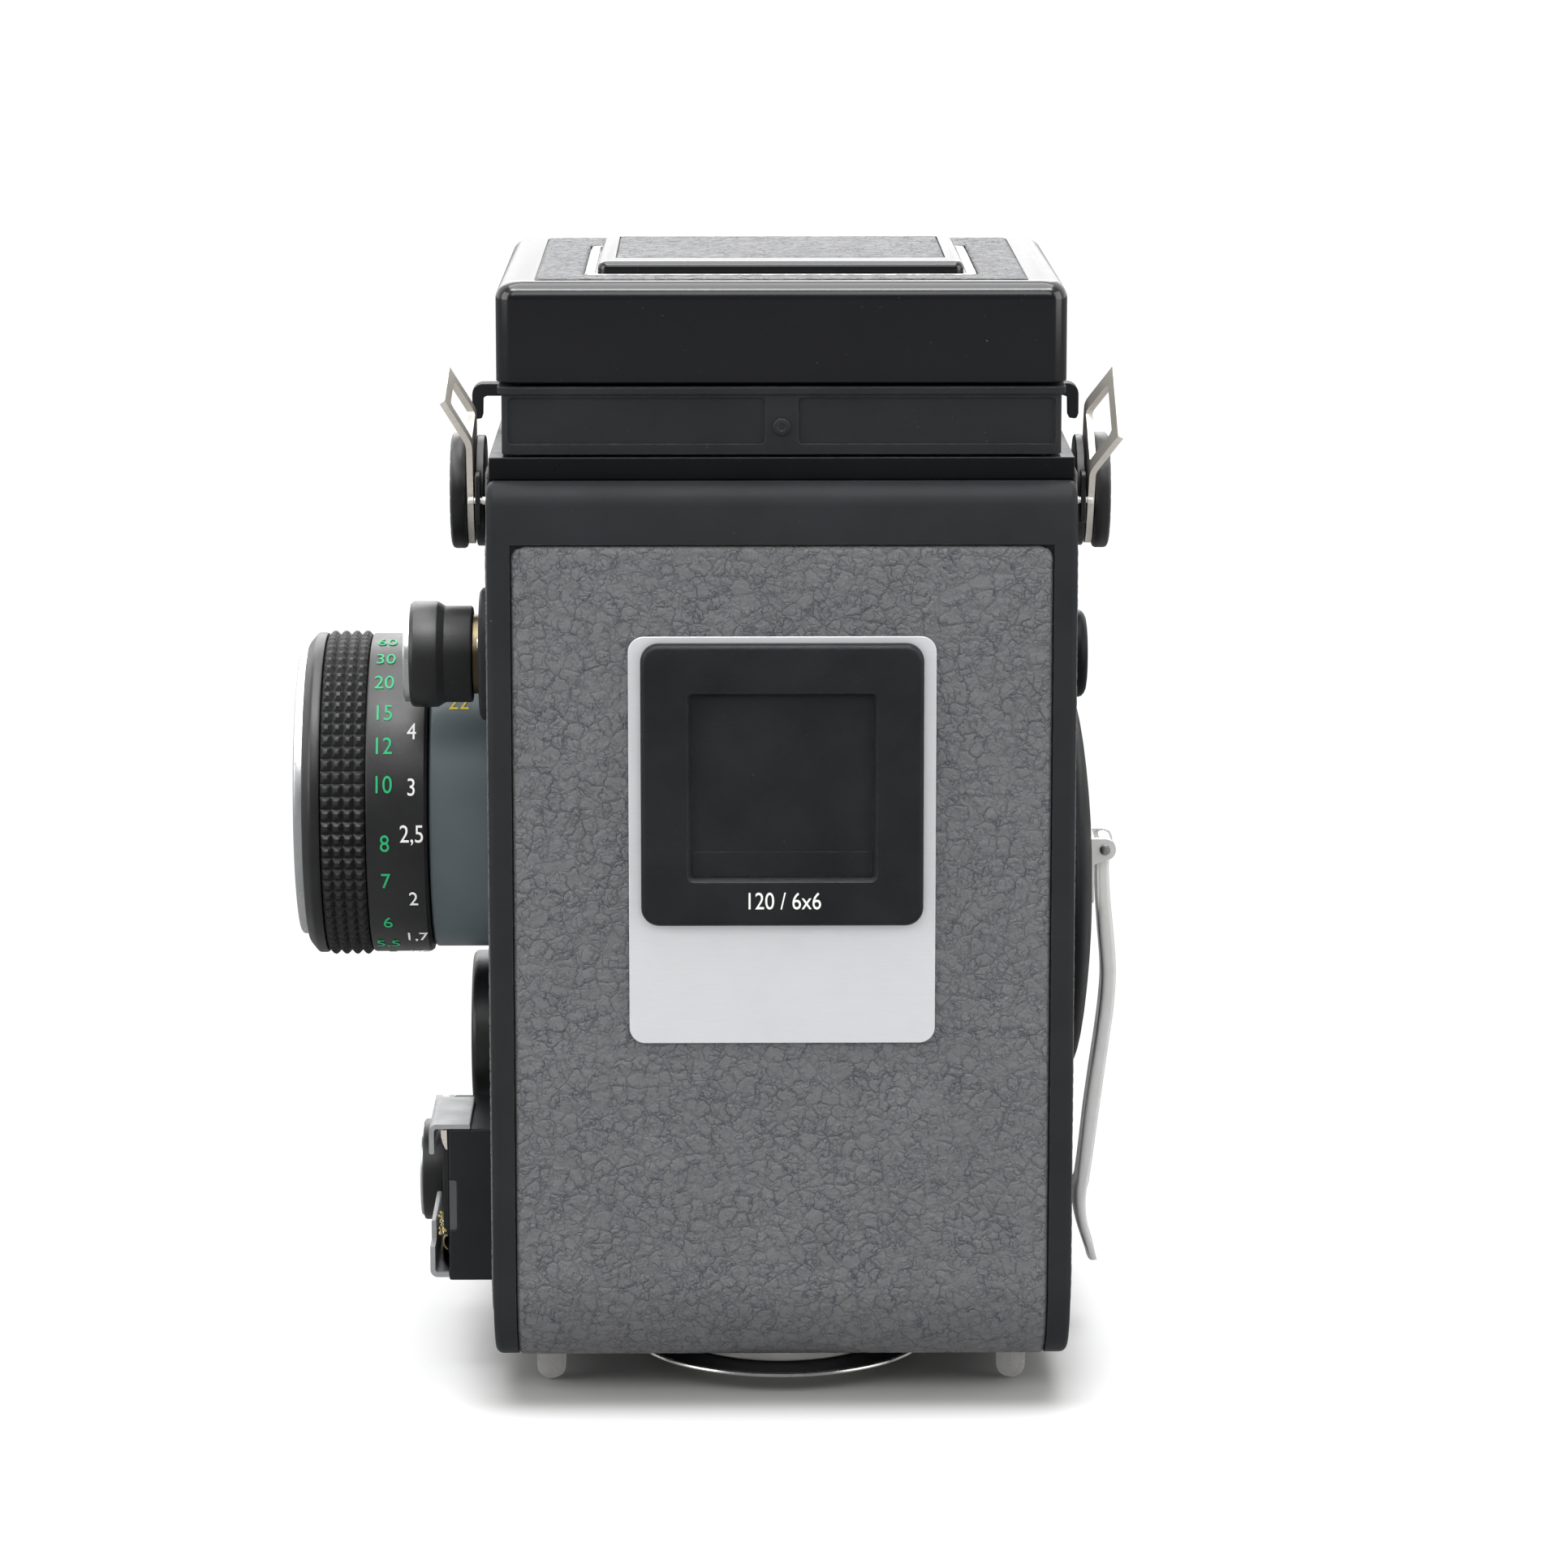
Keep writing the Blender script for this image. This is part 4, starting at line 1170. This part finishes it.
def front():
    s = stack([(-39.0, rrect(-33.5, 33.5, 13.0, 120.3, 4.0)), (-48.6, rrect(-33.5, 33.5, 13.0, 120.3, 4.0)), (-49.4, rrect(-33.25, 33.25, 13.25, 120.05, 3.9)),
               (-49.85, rrect(-32.8, 32.8, 13.7, 119.6, 3.7)), (-50.0, rrect(-32.2, 32.2, 14.3, 119.0, 3.4))], 'Y')
    s = cut(s, prism(rrect(-31.6, 31.6, 14.9, 118.4, 2.6), -47.2, -30.0, 'Y'))
    s = join(s, cut(prism([(-30.1, 30.1), (30.1, 30.1), (30.1, 113.9), (-30.1, 113.9)], -48.0, -27.2, 'Y'),
                    prism([(-28.7, 31.5), (28.7, 31.5), (28.7, 112.5), (-28.7, 112.5)], -47.2, -20.0, 'Y')))
    s = cut(s, cyl('Y', (0.0, 96.0), 17.0, -60, -40, 64), cyl('Y', (0.0, 52.0), 17.0, -60, -40, 64), cyl('Y', (24.5, 74.0), 2.0, -60, -40, 20), cyl('Y', (-24.5, 74.0), 2.0, -60, -40, 20),
            cyl('Y', (-26.5, 21.0), 2.8, -60, -40, 24), cyl('Y', (26.5, 21.0), 2.4, -60, -40, 24))
    emit("standard_plate", s, "standard", "black", ["front_standard"], bevel=0.25, segs=3, angle=38)
    # leather apron pieces on the front plate
    for nm, zc in (("viewing", 96.0), ("taking", 52.0)):
        barrel = lathe([(-46.5, 14.2), (-46.5, 16.6), (-50.1, 16.6), (-50.1, 21.1), (-50.3, 21.3), (-53.6, 21.3), (-53.9, 21.2), (-54.1, 20.9), (-54.3, 20.0), (-54.9, 19.65), (-58.0, 19.6),
                        (-58.1, 19.45), (-58.5, 19.45), (-58.6, 19.6), (-64.9, 19.6), (-65.2, 19.75), (-65.5, 20.6), (-65.8, 20.9), (-66.2, 21.0), (-72.6, 21.0), (-73.3, 20.9), (-73.8, 20.6),
                        (-74.0, 20.2), (-74.0, 18.4), (-73.8, 18.1), (-73.4, 17.95)]
                       + [(-73.0 + 1.0 * i - (0.0 if i == 0 else 0.0), 17.8 - 0.27 * i - (0.22 if i % 2 else 0.0)) for i in range(12)]
                       + [(-61.0, 14.5), (-60.4, 14.3), (-59.5, 14.2)], 112, 'Y', (0.0, zc), ring=True)
        emit(nm + "_barrel_turned", barrel, "standard", "knob", [nm + "_lens_barrel"])
        emit(nm + "_chrome_band", lathe([(-54.1, 20.0), (-53.75, 21.2), (-53.9, 21.34), (-54.2, 21.3), (-54.5, 20.4), (-54.4, 19.9)], 112, 'Y', (0.0, zc), ring=True), "standard", "chrome")
        emit(nm + "_bayonet_band", lathe([(-66.3, 20.9), (-66.6, 21.12), (-67.2, 21.12), (-67.5, 20.9)], 112, 'Y', (0.0, zc), ring=True), "standard", "chrome")
        emit(nm + "_retaining_ring", lathe([(-60.6, 12.4), (-60.6, 14.25), (-61.1, 14.1), (-61.25, 13.2), (-61.0, 12.6)], 96, 'Y', (0.0, zc), ring=True), "standard", "black")
        g = [(-49.0, 0.0), (-49.0, 12.4), (-49.6, 13.9), (-57.6, 13.9)]
        for i in range(1, 11):
            r = 13.9 * (1 - i / 10.0)
            g.append((-57.6 - 3.0 * (1 - (r / 13.9) ** 2), r))
        emit(nm + "_front_element", lathe(g, 96, 'Y', (0.0, zc)), "standard", "glass", [nm + "_lens_glass"], sharp=60)
    for nm, x, node in (("aperture", 24.5, "aperture_wheel"), ("shutter", -24.5, "shutter_speed_wheel")):
        w = knurled(-50.4, -55.0, 7.4, 0.28, 'Y', (x, 74.0), 36, 5.0)
        w = join(w, cyl('Y', (x, 74.0), 1.7, -50.6, -46.8, 24))
        emit(nm + "_dial_wheel", w, node, "knob", [node], sharp=35)
        emit(nm + "_dial_face", lathe([(-54.8, 0.0), (-54.8, 5.0), (-55.1, 4.9), (-55.2, 4.6), (-55.2, 3.3), (-55.12, 3.2), (-55.12, 0.0)], 56, 'Y', (x, 74.0)), node, "alu_turned")
    b = [(-45.8, 0.0), (-45.8, 2.5), (-53.7, 2.5), (-53.7, 3.8), (-53.9, 4.0), (-56.2, 4.0), (-56.6, 3.9), (-56.85, 3.6), (-56.9, 3.0), (-56.75, 2.0), (-56.6, 1.0), (-56.55, 0.0)]
    emit("release_button", lathe(b, 56, 'Y', (-26.5, 21.0)), "shutter_release", "chrome", ["shutter_release"])
    emit("release_guard", lathe([(-49.9, 4.5), (-49.9, 5.9), (-50.9, 5.8), (-51.3, 5.4), (-51.3, 4.6), (-51.0, 4.5)], 64, 'Y', (-26.5, 21.0), ring=True), "standard", "knob")
    emit("sync_terminal", lathe([(-47.0, 1.2), (-47.0, 2.2), (-50.1, 2.2), (-50.1, 4.0), (-50.3, 4.2), (-52.8, 4.2), (-53.1, 4.0), (-53.4, 3.6), (-53.4, 2.6), (-52.6, 2.4), (-52.6, 1.2)], 56, 'Y', (26.5, 21.0), ring=True),
         "standard", "chrome", ["sync_socket"])
    # meter cell window and flash-ready window, blank trim plate
    emit("name_plate_blank", stack([(-49.95, rrect(-10.5, 10.5, 71.9, 76.1, 0.8, 5)), (-50.35, rrect(-10.5, 10.5, 71.9, 76.1, 0.8, 5)), (-50.45, rrect(-10.4, 10.4, 72.0, 76.0, 0.75, 5))], 'Y'), "standard", "alu")
    emit("trim_line_upper", lathe([(-49.95, 22.0), (-50.08, 22.0), (-50.08, 22.3), (-49.95, 22.3)], 112, 'Y', (0.0, 96.0), ring=True), "standard", "alu")
    emit("trim_line_lower", lathe([(-49.95, 22.0), (-50.08, 22.0), (-50.08, 22.3), (-49.95, 22.3)], 112, 'Y', (0.0, 52.0), ring=True), "standard", "alu")
    for i, (x, z) in enumerate(((-29.6, 114.5), (29.6, 114.5), (-29.6, 98.0), (29.6, 98.0), (-29.6, 40.0), (29.6, 40.0))):
        sc = cut(lathe([(-49.95, 0.0), (-49.95, 1.05), (-50.2, 1.05), (-50.3, 0.85), (-50.3, 0.0)], 28, 'Y', (x, z)), box(x - 0.13, x + 0.13, -51, -50.15, z - 2, z + 2))
        emit("front_screw_%d" % (i + 1), sc, "standard", "black")


front()


# ------------------------------------------------------------------ hood
def hood():
    hb = stack([(122.8, rrect(-35.3, 35.3, -37.0, 28.0, 1.4)), (130.25, rrect(-35.3, 35.3, -37.0, 28.0, 1.4)), (130.5, rrect(-35.8, 35.8, -37.3, 28.4, 1.5)),
                (131.3, rrect(-35.8, 35.8, -37.3, 28.4, 1.5))], 'Z')
    hb = cut(hb, box(-33, 33, -34.6, 25.6, 124.4, 140), box(-29, 29, -29, 22, 100, 140),
             prism(rrect(2.1, 34.4, 124.1, 130.0, 0.5, 4), 27.65, 33.0, 'Y'), prism(rrect(-34.4, -2.1, 124.1, 130.0, 0.5, 4), 27.65, 33.0, 'Y'),
             prism(rrect(-33.5, 22.0, 124.1, 130.0, 0.5, 4), 34.95, 40.0, 'X'), prism(rrect(-33.5, 22.0, 124.1, 130.0, 0.5, 4), -40.0, -34.95, 'X'))
    emit("hood_tray", hb, "body", "black", ["hood_base"], bevel=0.2, segs=3, angle=38)
    riv = lathe([(27.9, 0.0), (27.9, 1.15), (28.2, 1.12), (28.38, 0.9), (28.42, 0.55), (28.3, 0.4), (28.3, 0.0)], 32, 'Y', (0.0, 126.3))
    emit("hood_rivet", riv, "body", "black")
    secs = [(131.7, rrect(-35.8, 35.8, -37.3, 27.2, 2.4, 12)), (131.9, rrect(-36.0, 36.0, -37.5, 27.4, 2.6, 12))]
    R = 2.3
    for k in range(13):
        t = math.radians(90.0 * k / 12)
        d = R * (1 - math.cos(t))
        secs.append((144.5 - R + R * math.sin(t), rrect(-36.0 + d, 36.0 - d, -37.5 + d, 27.4 - d, 2.6 - d * 0.5, 12)))
    ld = stack(secs, 'Z')
    ld = cut(ld, prism(rrect(-34.5, 34.5, -36.1, 26.0, 0.6, 3), 125.0, 143.0, 'Z'))
    ld = cut(ld, prism(rrect(-31.12, 31.12, -34.12, 25.32, 0.8, 4), 144.35, 150.0, 'Z'))
    emit("lid_shell", ld, "lid", "lid", ["hood_lid"], sharp=34)
    def frame_ring(w):
        return rrect(-24.8 + w, 24.8 - w, -22.0 + w, 18.9 - w, max(0.4, 1.5 - w * 0.8), 6)
    fr = stack([(144.3, frame_ring(0.0)), (144.60, frame_ring(0.0)), (144.66, frame_ring(0.1)), (144.66, frame_ring(0.35))], 'Z')
    fr = cut(fr, prism(frame_ring(1.1), 140.0, 150.0, 'Z'))
    emit("lid_chrome_frame", fr, "lid", "frame", ["lid_frame"], sharp=34)
    fp = [(144.3, rrect(-23.3, 23.3, -20.4, 17.2, 1.4))]
    for k in range(9):
        q = math.radians(90.0 * k / 8)
        d = 0.95 * (1 - math.cos(q))
        fp.append((145.2 + 0.94 * math.sin(q), rrect(-23.3 + d, 23.3 - d, -20.4 + d, 17.2 - d, 1.4 - d * 0.5)))
    fl = cut(stack(fp, 'Z'), prism(rrect(-21.1, 21.1, -18.8, 12.2, 0.3, 3), 145.8, 150.0, 'Z'))
    emit("lid_flap_panel", fl, "lid", "lid", ["lid_flap"], sharp=34)
    # folding panels
    pr = [(-31.0, 24.0), (31.0, 24.0), (18.0, -2.0), (-18.0, -2.0)]
    e = stack([(128.5, pr), (129.0, pr), (129.2, [(-30.6, 23.7), (30.6, 23.7), (17.8, -1.7), (-17.8, -1.7)])], 'Z')
    emit("rear_screen_panel", e, "panel_rear", "matt", ["hood_panel_rear"], bevel=0.12, segs=2)
    for tag, sg in (("left", 1.0), ("right", -1.0)):
        q = [(sg * 31.9, -33.0), (sg * 31.9, 21.5), (sg * 7.0, -31.0), (sg * 7.0, -33.0)]
        emit("side_screen_panel_" + tag, prism(q, 131.2, 131.8, 'Z'), "panel_" + tag, "matt", ["hood_panel_" + tag], bevel=0.12, segs=2)
    ma = join(prism(rrect(-9.0, 9.0, -9.6, -4.0, 0.5, 4), 140.8, 141.8, 'Z'),
              lathe([(139.6, 12.7), (139.6, 14.4), (139.8, 14.6), (141.8, 14.6), (142.0, 14.4), (142.0, 12.7)], 72, 'Z', (0.0, 6.5), ring=True))
    ma = cut(ma, cyl('Z', (0.0, 6.5), 12.7, 130, 150, 72))
    emit("magnifier_frame", ma, "magnifier", "matt", ["magnifier_arm"], sharp=34)
    g = [(140.8 - 0.8 * (1 - (r / 12.4) ** 2), r) for r in (0.0, 3.0, 6.0, 9.0, 11.0, 12.4)] + [(140.8 + 0.8 * (1 - (r / 12.4) ** 2), r) for r in (12.4, 11.0, 9.0, 6.0, 3.0, 0.0)]
    g = [g[0]] + g[1:6] + [(141.0, 12.4)] + g[7:]
    emit("magnifier_glass", lathe(g, 64, 'Z', (0.0, 6.5)), "magnifier", "glass", ["magnifier_lens"], sharp=60)


hood()


# ------------------------------------------------------------------ floor, light, camera
def stage():
    me = bpy.data.meshes.new("floor")
    s = 14.0
    me.from_pydata([(-s, -s, -0.0002), (s, -s, -0.0002), (s, s, -0.0002), (-s, s, -0.0002)], [], [(0, 1, 2, 3)])
    f = bpy.data.objects.new("floor", me)
    bpy.context.scene.collection.objects.link(f)
    m = bpy.data.materials.new("floor_paper")
    m.use_nodes = True
    nt = m.node_tree
    b = nt.nodes["Principled BSDF"]
    b.inputs["Roughness"].default_value = 0.75
    b.inputs["Specular IOR Level"].default_value = 0.1

    def node(kind, **kw):
        x = nt.nodes.new(kind)
        for k, v in kw.items():
            x.inputs[k].default_value = v
        return x
    paper = node("ShaderNodeTexNoise", Scale=160.0, Detail=4.0)
    pr = node("ShaderNodeMapRange")
    pr.inputs["To Min"].default_value = 0.70
    pr.inputs["To Max"].default_value = 0.74
    nt.links.new(paper.outputs["Fac"], pr.inputs["Value"])
    geo = node("ShaderNodeNewGeometry")
    def vm(kind, a, b=None):
        x = nt.nodes.new("ShaderNodeVectorMath")
        x.operation = kind
        nt.links.new(a, x.inputs[0])
        if b is not None:
            x.inputs[1].default_value = b
        return x
    off = vm('SUBTRACT', geo.outputs["Position"], (SX * MM, (SY - 3.0) * MM, 0.0))
    ab = vm('ABSOLUTE', off.outputs[0])
    sub = vm('SUBTRACT', ab.outputs[0], (0.033, 0.033, 1.0))
    mx = vm('MAXIMUM', sub.outputs[0], (0.0, 0.0, 0.0))
    ln = vm('LENGTH', mx.outputs[0])
    far = nt.nodes.new("ShaderNodeMapRange")
    far.interpolation_type = 'SMOOTHSTEP'
    for k, v in (("From Min", 0.0), ("From Max", 0.026), ("To Min", 0.0), ("To Max", 1.0)):
        far.inputs[k].default_value = v
    nt.links.new(ln.outputs["Value"], far.inputs["Value"])
    lp0 = nt.nodes.new("ShaderNodeLightPath")
    near = nt.nodes.new("ShaderNodeMapRange")
    near.interpolation_type = 'SMOOTHSTEP'
    for k, v in (("From Min", 0.0), ("From Max", 0.012), ("To Min", 0.62), ("To Max", 0.0)):
        near.inputs[k].default_value = v
    nt.links.new(ln.outputs["Value"], near.inputs["Value"])
    only = nt.nodes.new("ShaderNodeMath")
    only.operation = 'MULTIPLY'
    nt.links.new(near.outputs["Result"], only.inputs[0])
    nt.links.new(lp0.outputs["Is Camera Ray"], only.inputs[1])
    tone = nt.nodes.new("ShaderNodeMix")
    tone.data_type = 'RGBA'
    tone.inputs[7].default_value = (0.17, 0.165, 0.155, 1.0)
    nt.links.new(only.outputs[0], tone.inputs[0])
    nt.links.new(pr.outputs["Result"], tone.inputs[6])
    nt.links.new(tone.outputs[2], b.inputs["Base Color"])
    white = node("ShaderNodeEmission", Strength=1.05)
    dim = node("ShaderNodeEmission", Strength=0.32)
    cam_far = nt.nodes.new("ShaderNodeMath")
    cam_far.operation = 'MULTIPLY'
    nt.links.new(far.outputs["Result"], cam_far.inputs[0])
    nt.links.new(lp0.outputs["Is Camera Ray"], cam_far.inputs[1])
    s1 = nt.nodes.new("ShaderNodeMixShader")
    nt.links.new(cam_far.outputs[0], s1.inputs[0])
    nt.links.new(b.outputs[0], s1.inputs[1])
    nt.links.new(white.outputs[0], s1.inputs[2])
    s2 = nt.nodes.new("ShaderNodeMixShader")
    nt.links.new(lp0.outputs["Is Glossy Ray"], s2.inputs[0])
    nt.links.new(s1.outputs[0], s2.inputs[1])
    nt.links.new(dim.outputs[0], s2.inputs[2])
    nt.links.new(s2.outputs[0], nt.nodes["Material Output"].inputs["Surface"])
    me.materials.append(m)
    w = bpy.data.worlds.new("studio")
    bpy.context.scene.world = w
    w.use_nodes = True
    nt = w.node_tree
    nt.nodes.clear()
    out = nt.nodes.new("ShaderNodeOutputWorld")
    lp = nt.nodes.new("ShaderNodeLightPath")
    tc = nt.nodes.new("ShaderNodeTexCoord")
    sep = nt.nodes.new("ShaderNodeSeparateXYZ")
    nt.links.new(tc.outputs["Generated"], sep.inputs[0])

    def ramp(sock, a, b, c, d):
        x = nt.nodes.new("ShaderNodeMapRange")
        x.interpolation_type = 'SMOOTHSTEP'
        for k, v in (("From Min", a), ("From Max", b), ("To Min", c), ("To Max", d)):
            x.inputs[k].default_value = v
        nt.links.new(sock, x.inputs["Value"])
        return x.outputs["Result"]

    def op(kind, a, b):
        x = nt.nodes.new("ShaderNodeMath")
        x.operation = kind
        for i, v in enumerate((a, b)):
            if isinstance(v, float):
                x.inputs[i].default_value = v
            else:
                nt.links.new(v, x.inputs[i])
        return x.outputs[0]
    up = ramp(sep.outputs["Z"], 0.30, 0.95, 0.0, 0.75)
    behind = ramp(sep.outputs["Y"], 0.05, -0.45, 0.0, 1.5)
    ax = op('ABSOLUTE', sep.outputs["X"], 0.0)
    sides = ramp(ax, 0.62, 0.92, 0.0, 0.80)
    band = op('MULTIPLY', ramp(sep.outputs["Z"], 0.84, 0.87, 0.0, 1.0), ramp(sep.outputs["Z"], 0.95, 0.925, 0.0, 1.0))
    strip = op('MULTIPLY', op('MULTIPLY', band, ramp(sep.outputs["Y"], 0.12, 0.25, 0.0, 1.0)), 15.0)
    g = op('ADD', op('ADD', op('MAXIMUM', op('MAXIMUM', up, behind), sides), 0.16), strip)
    bg1 = nt.nodes.new("ShaderNodeBackground")
    bg1.inputs["Color"].default_value = (1.0, 1.0, 1.0, 1)
    nt.links.new(g, bg1.inputs["Strength"])
    bg2 = nt.nodes.new("ShaderNodeBackground")
    bg2.inputs["Color"].default_value = (0.985, 0.99, 1.0, 1)
    bg2.inputs["Strength"].default_value = 0.76
    bg3 = nt.nodes.new("ShaderNodeBackground")
    bg3.inputs["Color"].default_value = (1, 1, 1, 1)
    bg3.inputs["Strength"].default_value = 1.0
    m1 = nt.nodes.new("ShaderNodeMixShader")
    nt.links.new(lp.outputs["Is Glossy Ray"], m1.inputs[0])
    nt.links.new(bg2.outputs[0], m1.inputs[1])
    nt.links.new(bg1.outputs[0], m1.inputs[2])
    m2 = nt.nodes.new("ShaderNodeMixShader")
    nt.links.new(lp.outputs["Is Camera Ray"], m2.inputs[0])
    nt.links.new(m1.outputs[0], m2.inputs[1])
    nt.links.new(bg3.outputs[0], m2.inputs[2])
    nt.links.new(m2.outputs[0], out.inputs["Surface"])

    def area(name, loc, target, size, power, col=(1, 1, 1)):
        l = bpy.data.lights.new(name, 'AREA')
        l.shape = 'RECTANGLE'
        l.size, l.size_y = size
        l.energy = power
        l.color = col
        o = bpy.data.objects.new(name, l)
        bpy.context.scene.collection.objects.link(o)
        o.location = loc
        o.rotation_euler = (Vector(target) - Vector(loc)).to_track_quat('-Z', 'Y').to_euler()
        return o
    area("top_box", (0.0, -0.05, 1.15), (0, 0, 0.08), (1.1, 0.9), 15.5)
    area("left_box", (1.05, 0.45, 0.55), (0, 0, 0.08), (0.8, 0.9), 8.0)
    area("right_box", (-1.05, 0.40, 0.50), (0, 0, 0.08), (0.8, 0.9), 6.8)
    area("front_box", (0.15, -1.1, 0.75), (0, 0, 0.08), (1.0, 0.7), 6.0)
    area("rear_box", (0.0, 1.15, 1.05), (0, 0, 0.06), (1.4, 0.5), 6.4)

    cam = bpy.data.cameras.new("camera")
    cam.sensor_fit = 'HORIZONTAL'
    cam.sensor_width = 36.0
    cam.lens = 6989.0 / 1932.0 * 36.0
    cam.clip_start = 0.01
    co = bpy.data.objects.new("camera", cam)
    bpy.context.scene.collection.objects.link(co)
    e, yaw = math.radians(10.5), math.radians(0.58)
    fwd = Vector((-math.sin(yaw) * math.cos(e), -math.cos(yaw) * math.cos(e), -math.sin(e))).normalized()
    right = fwd.cross(Vector((0, 0, 1))).normalized()
    up = right.cross(fwd)
    rot = Matrix((right, up, -fwd)).transposed().to_4x4()
    loc = Vector((6.90 + SX, 737.974 + SY, 212.181)) * MM
    co.matrix_world = Matrix.Translation(loc) @ rot
    bpy.context.scene.camera = co
    bpy.context.scene.view_settings.view_transform = 'Standard'


stage()
bpy.context.view_layer.update()
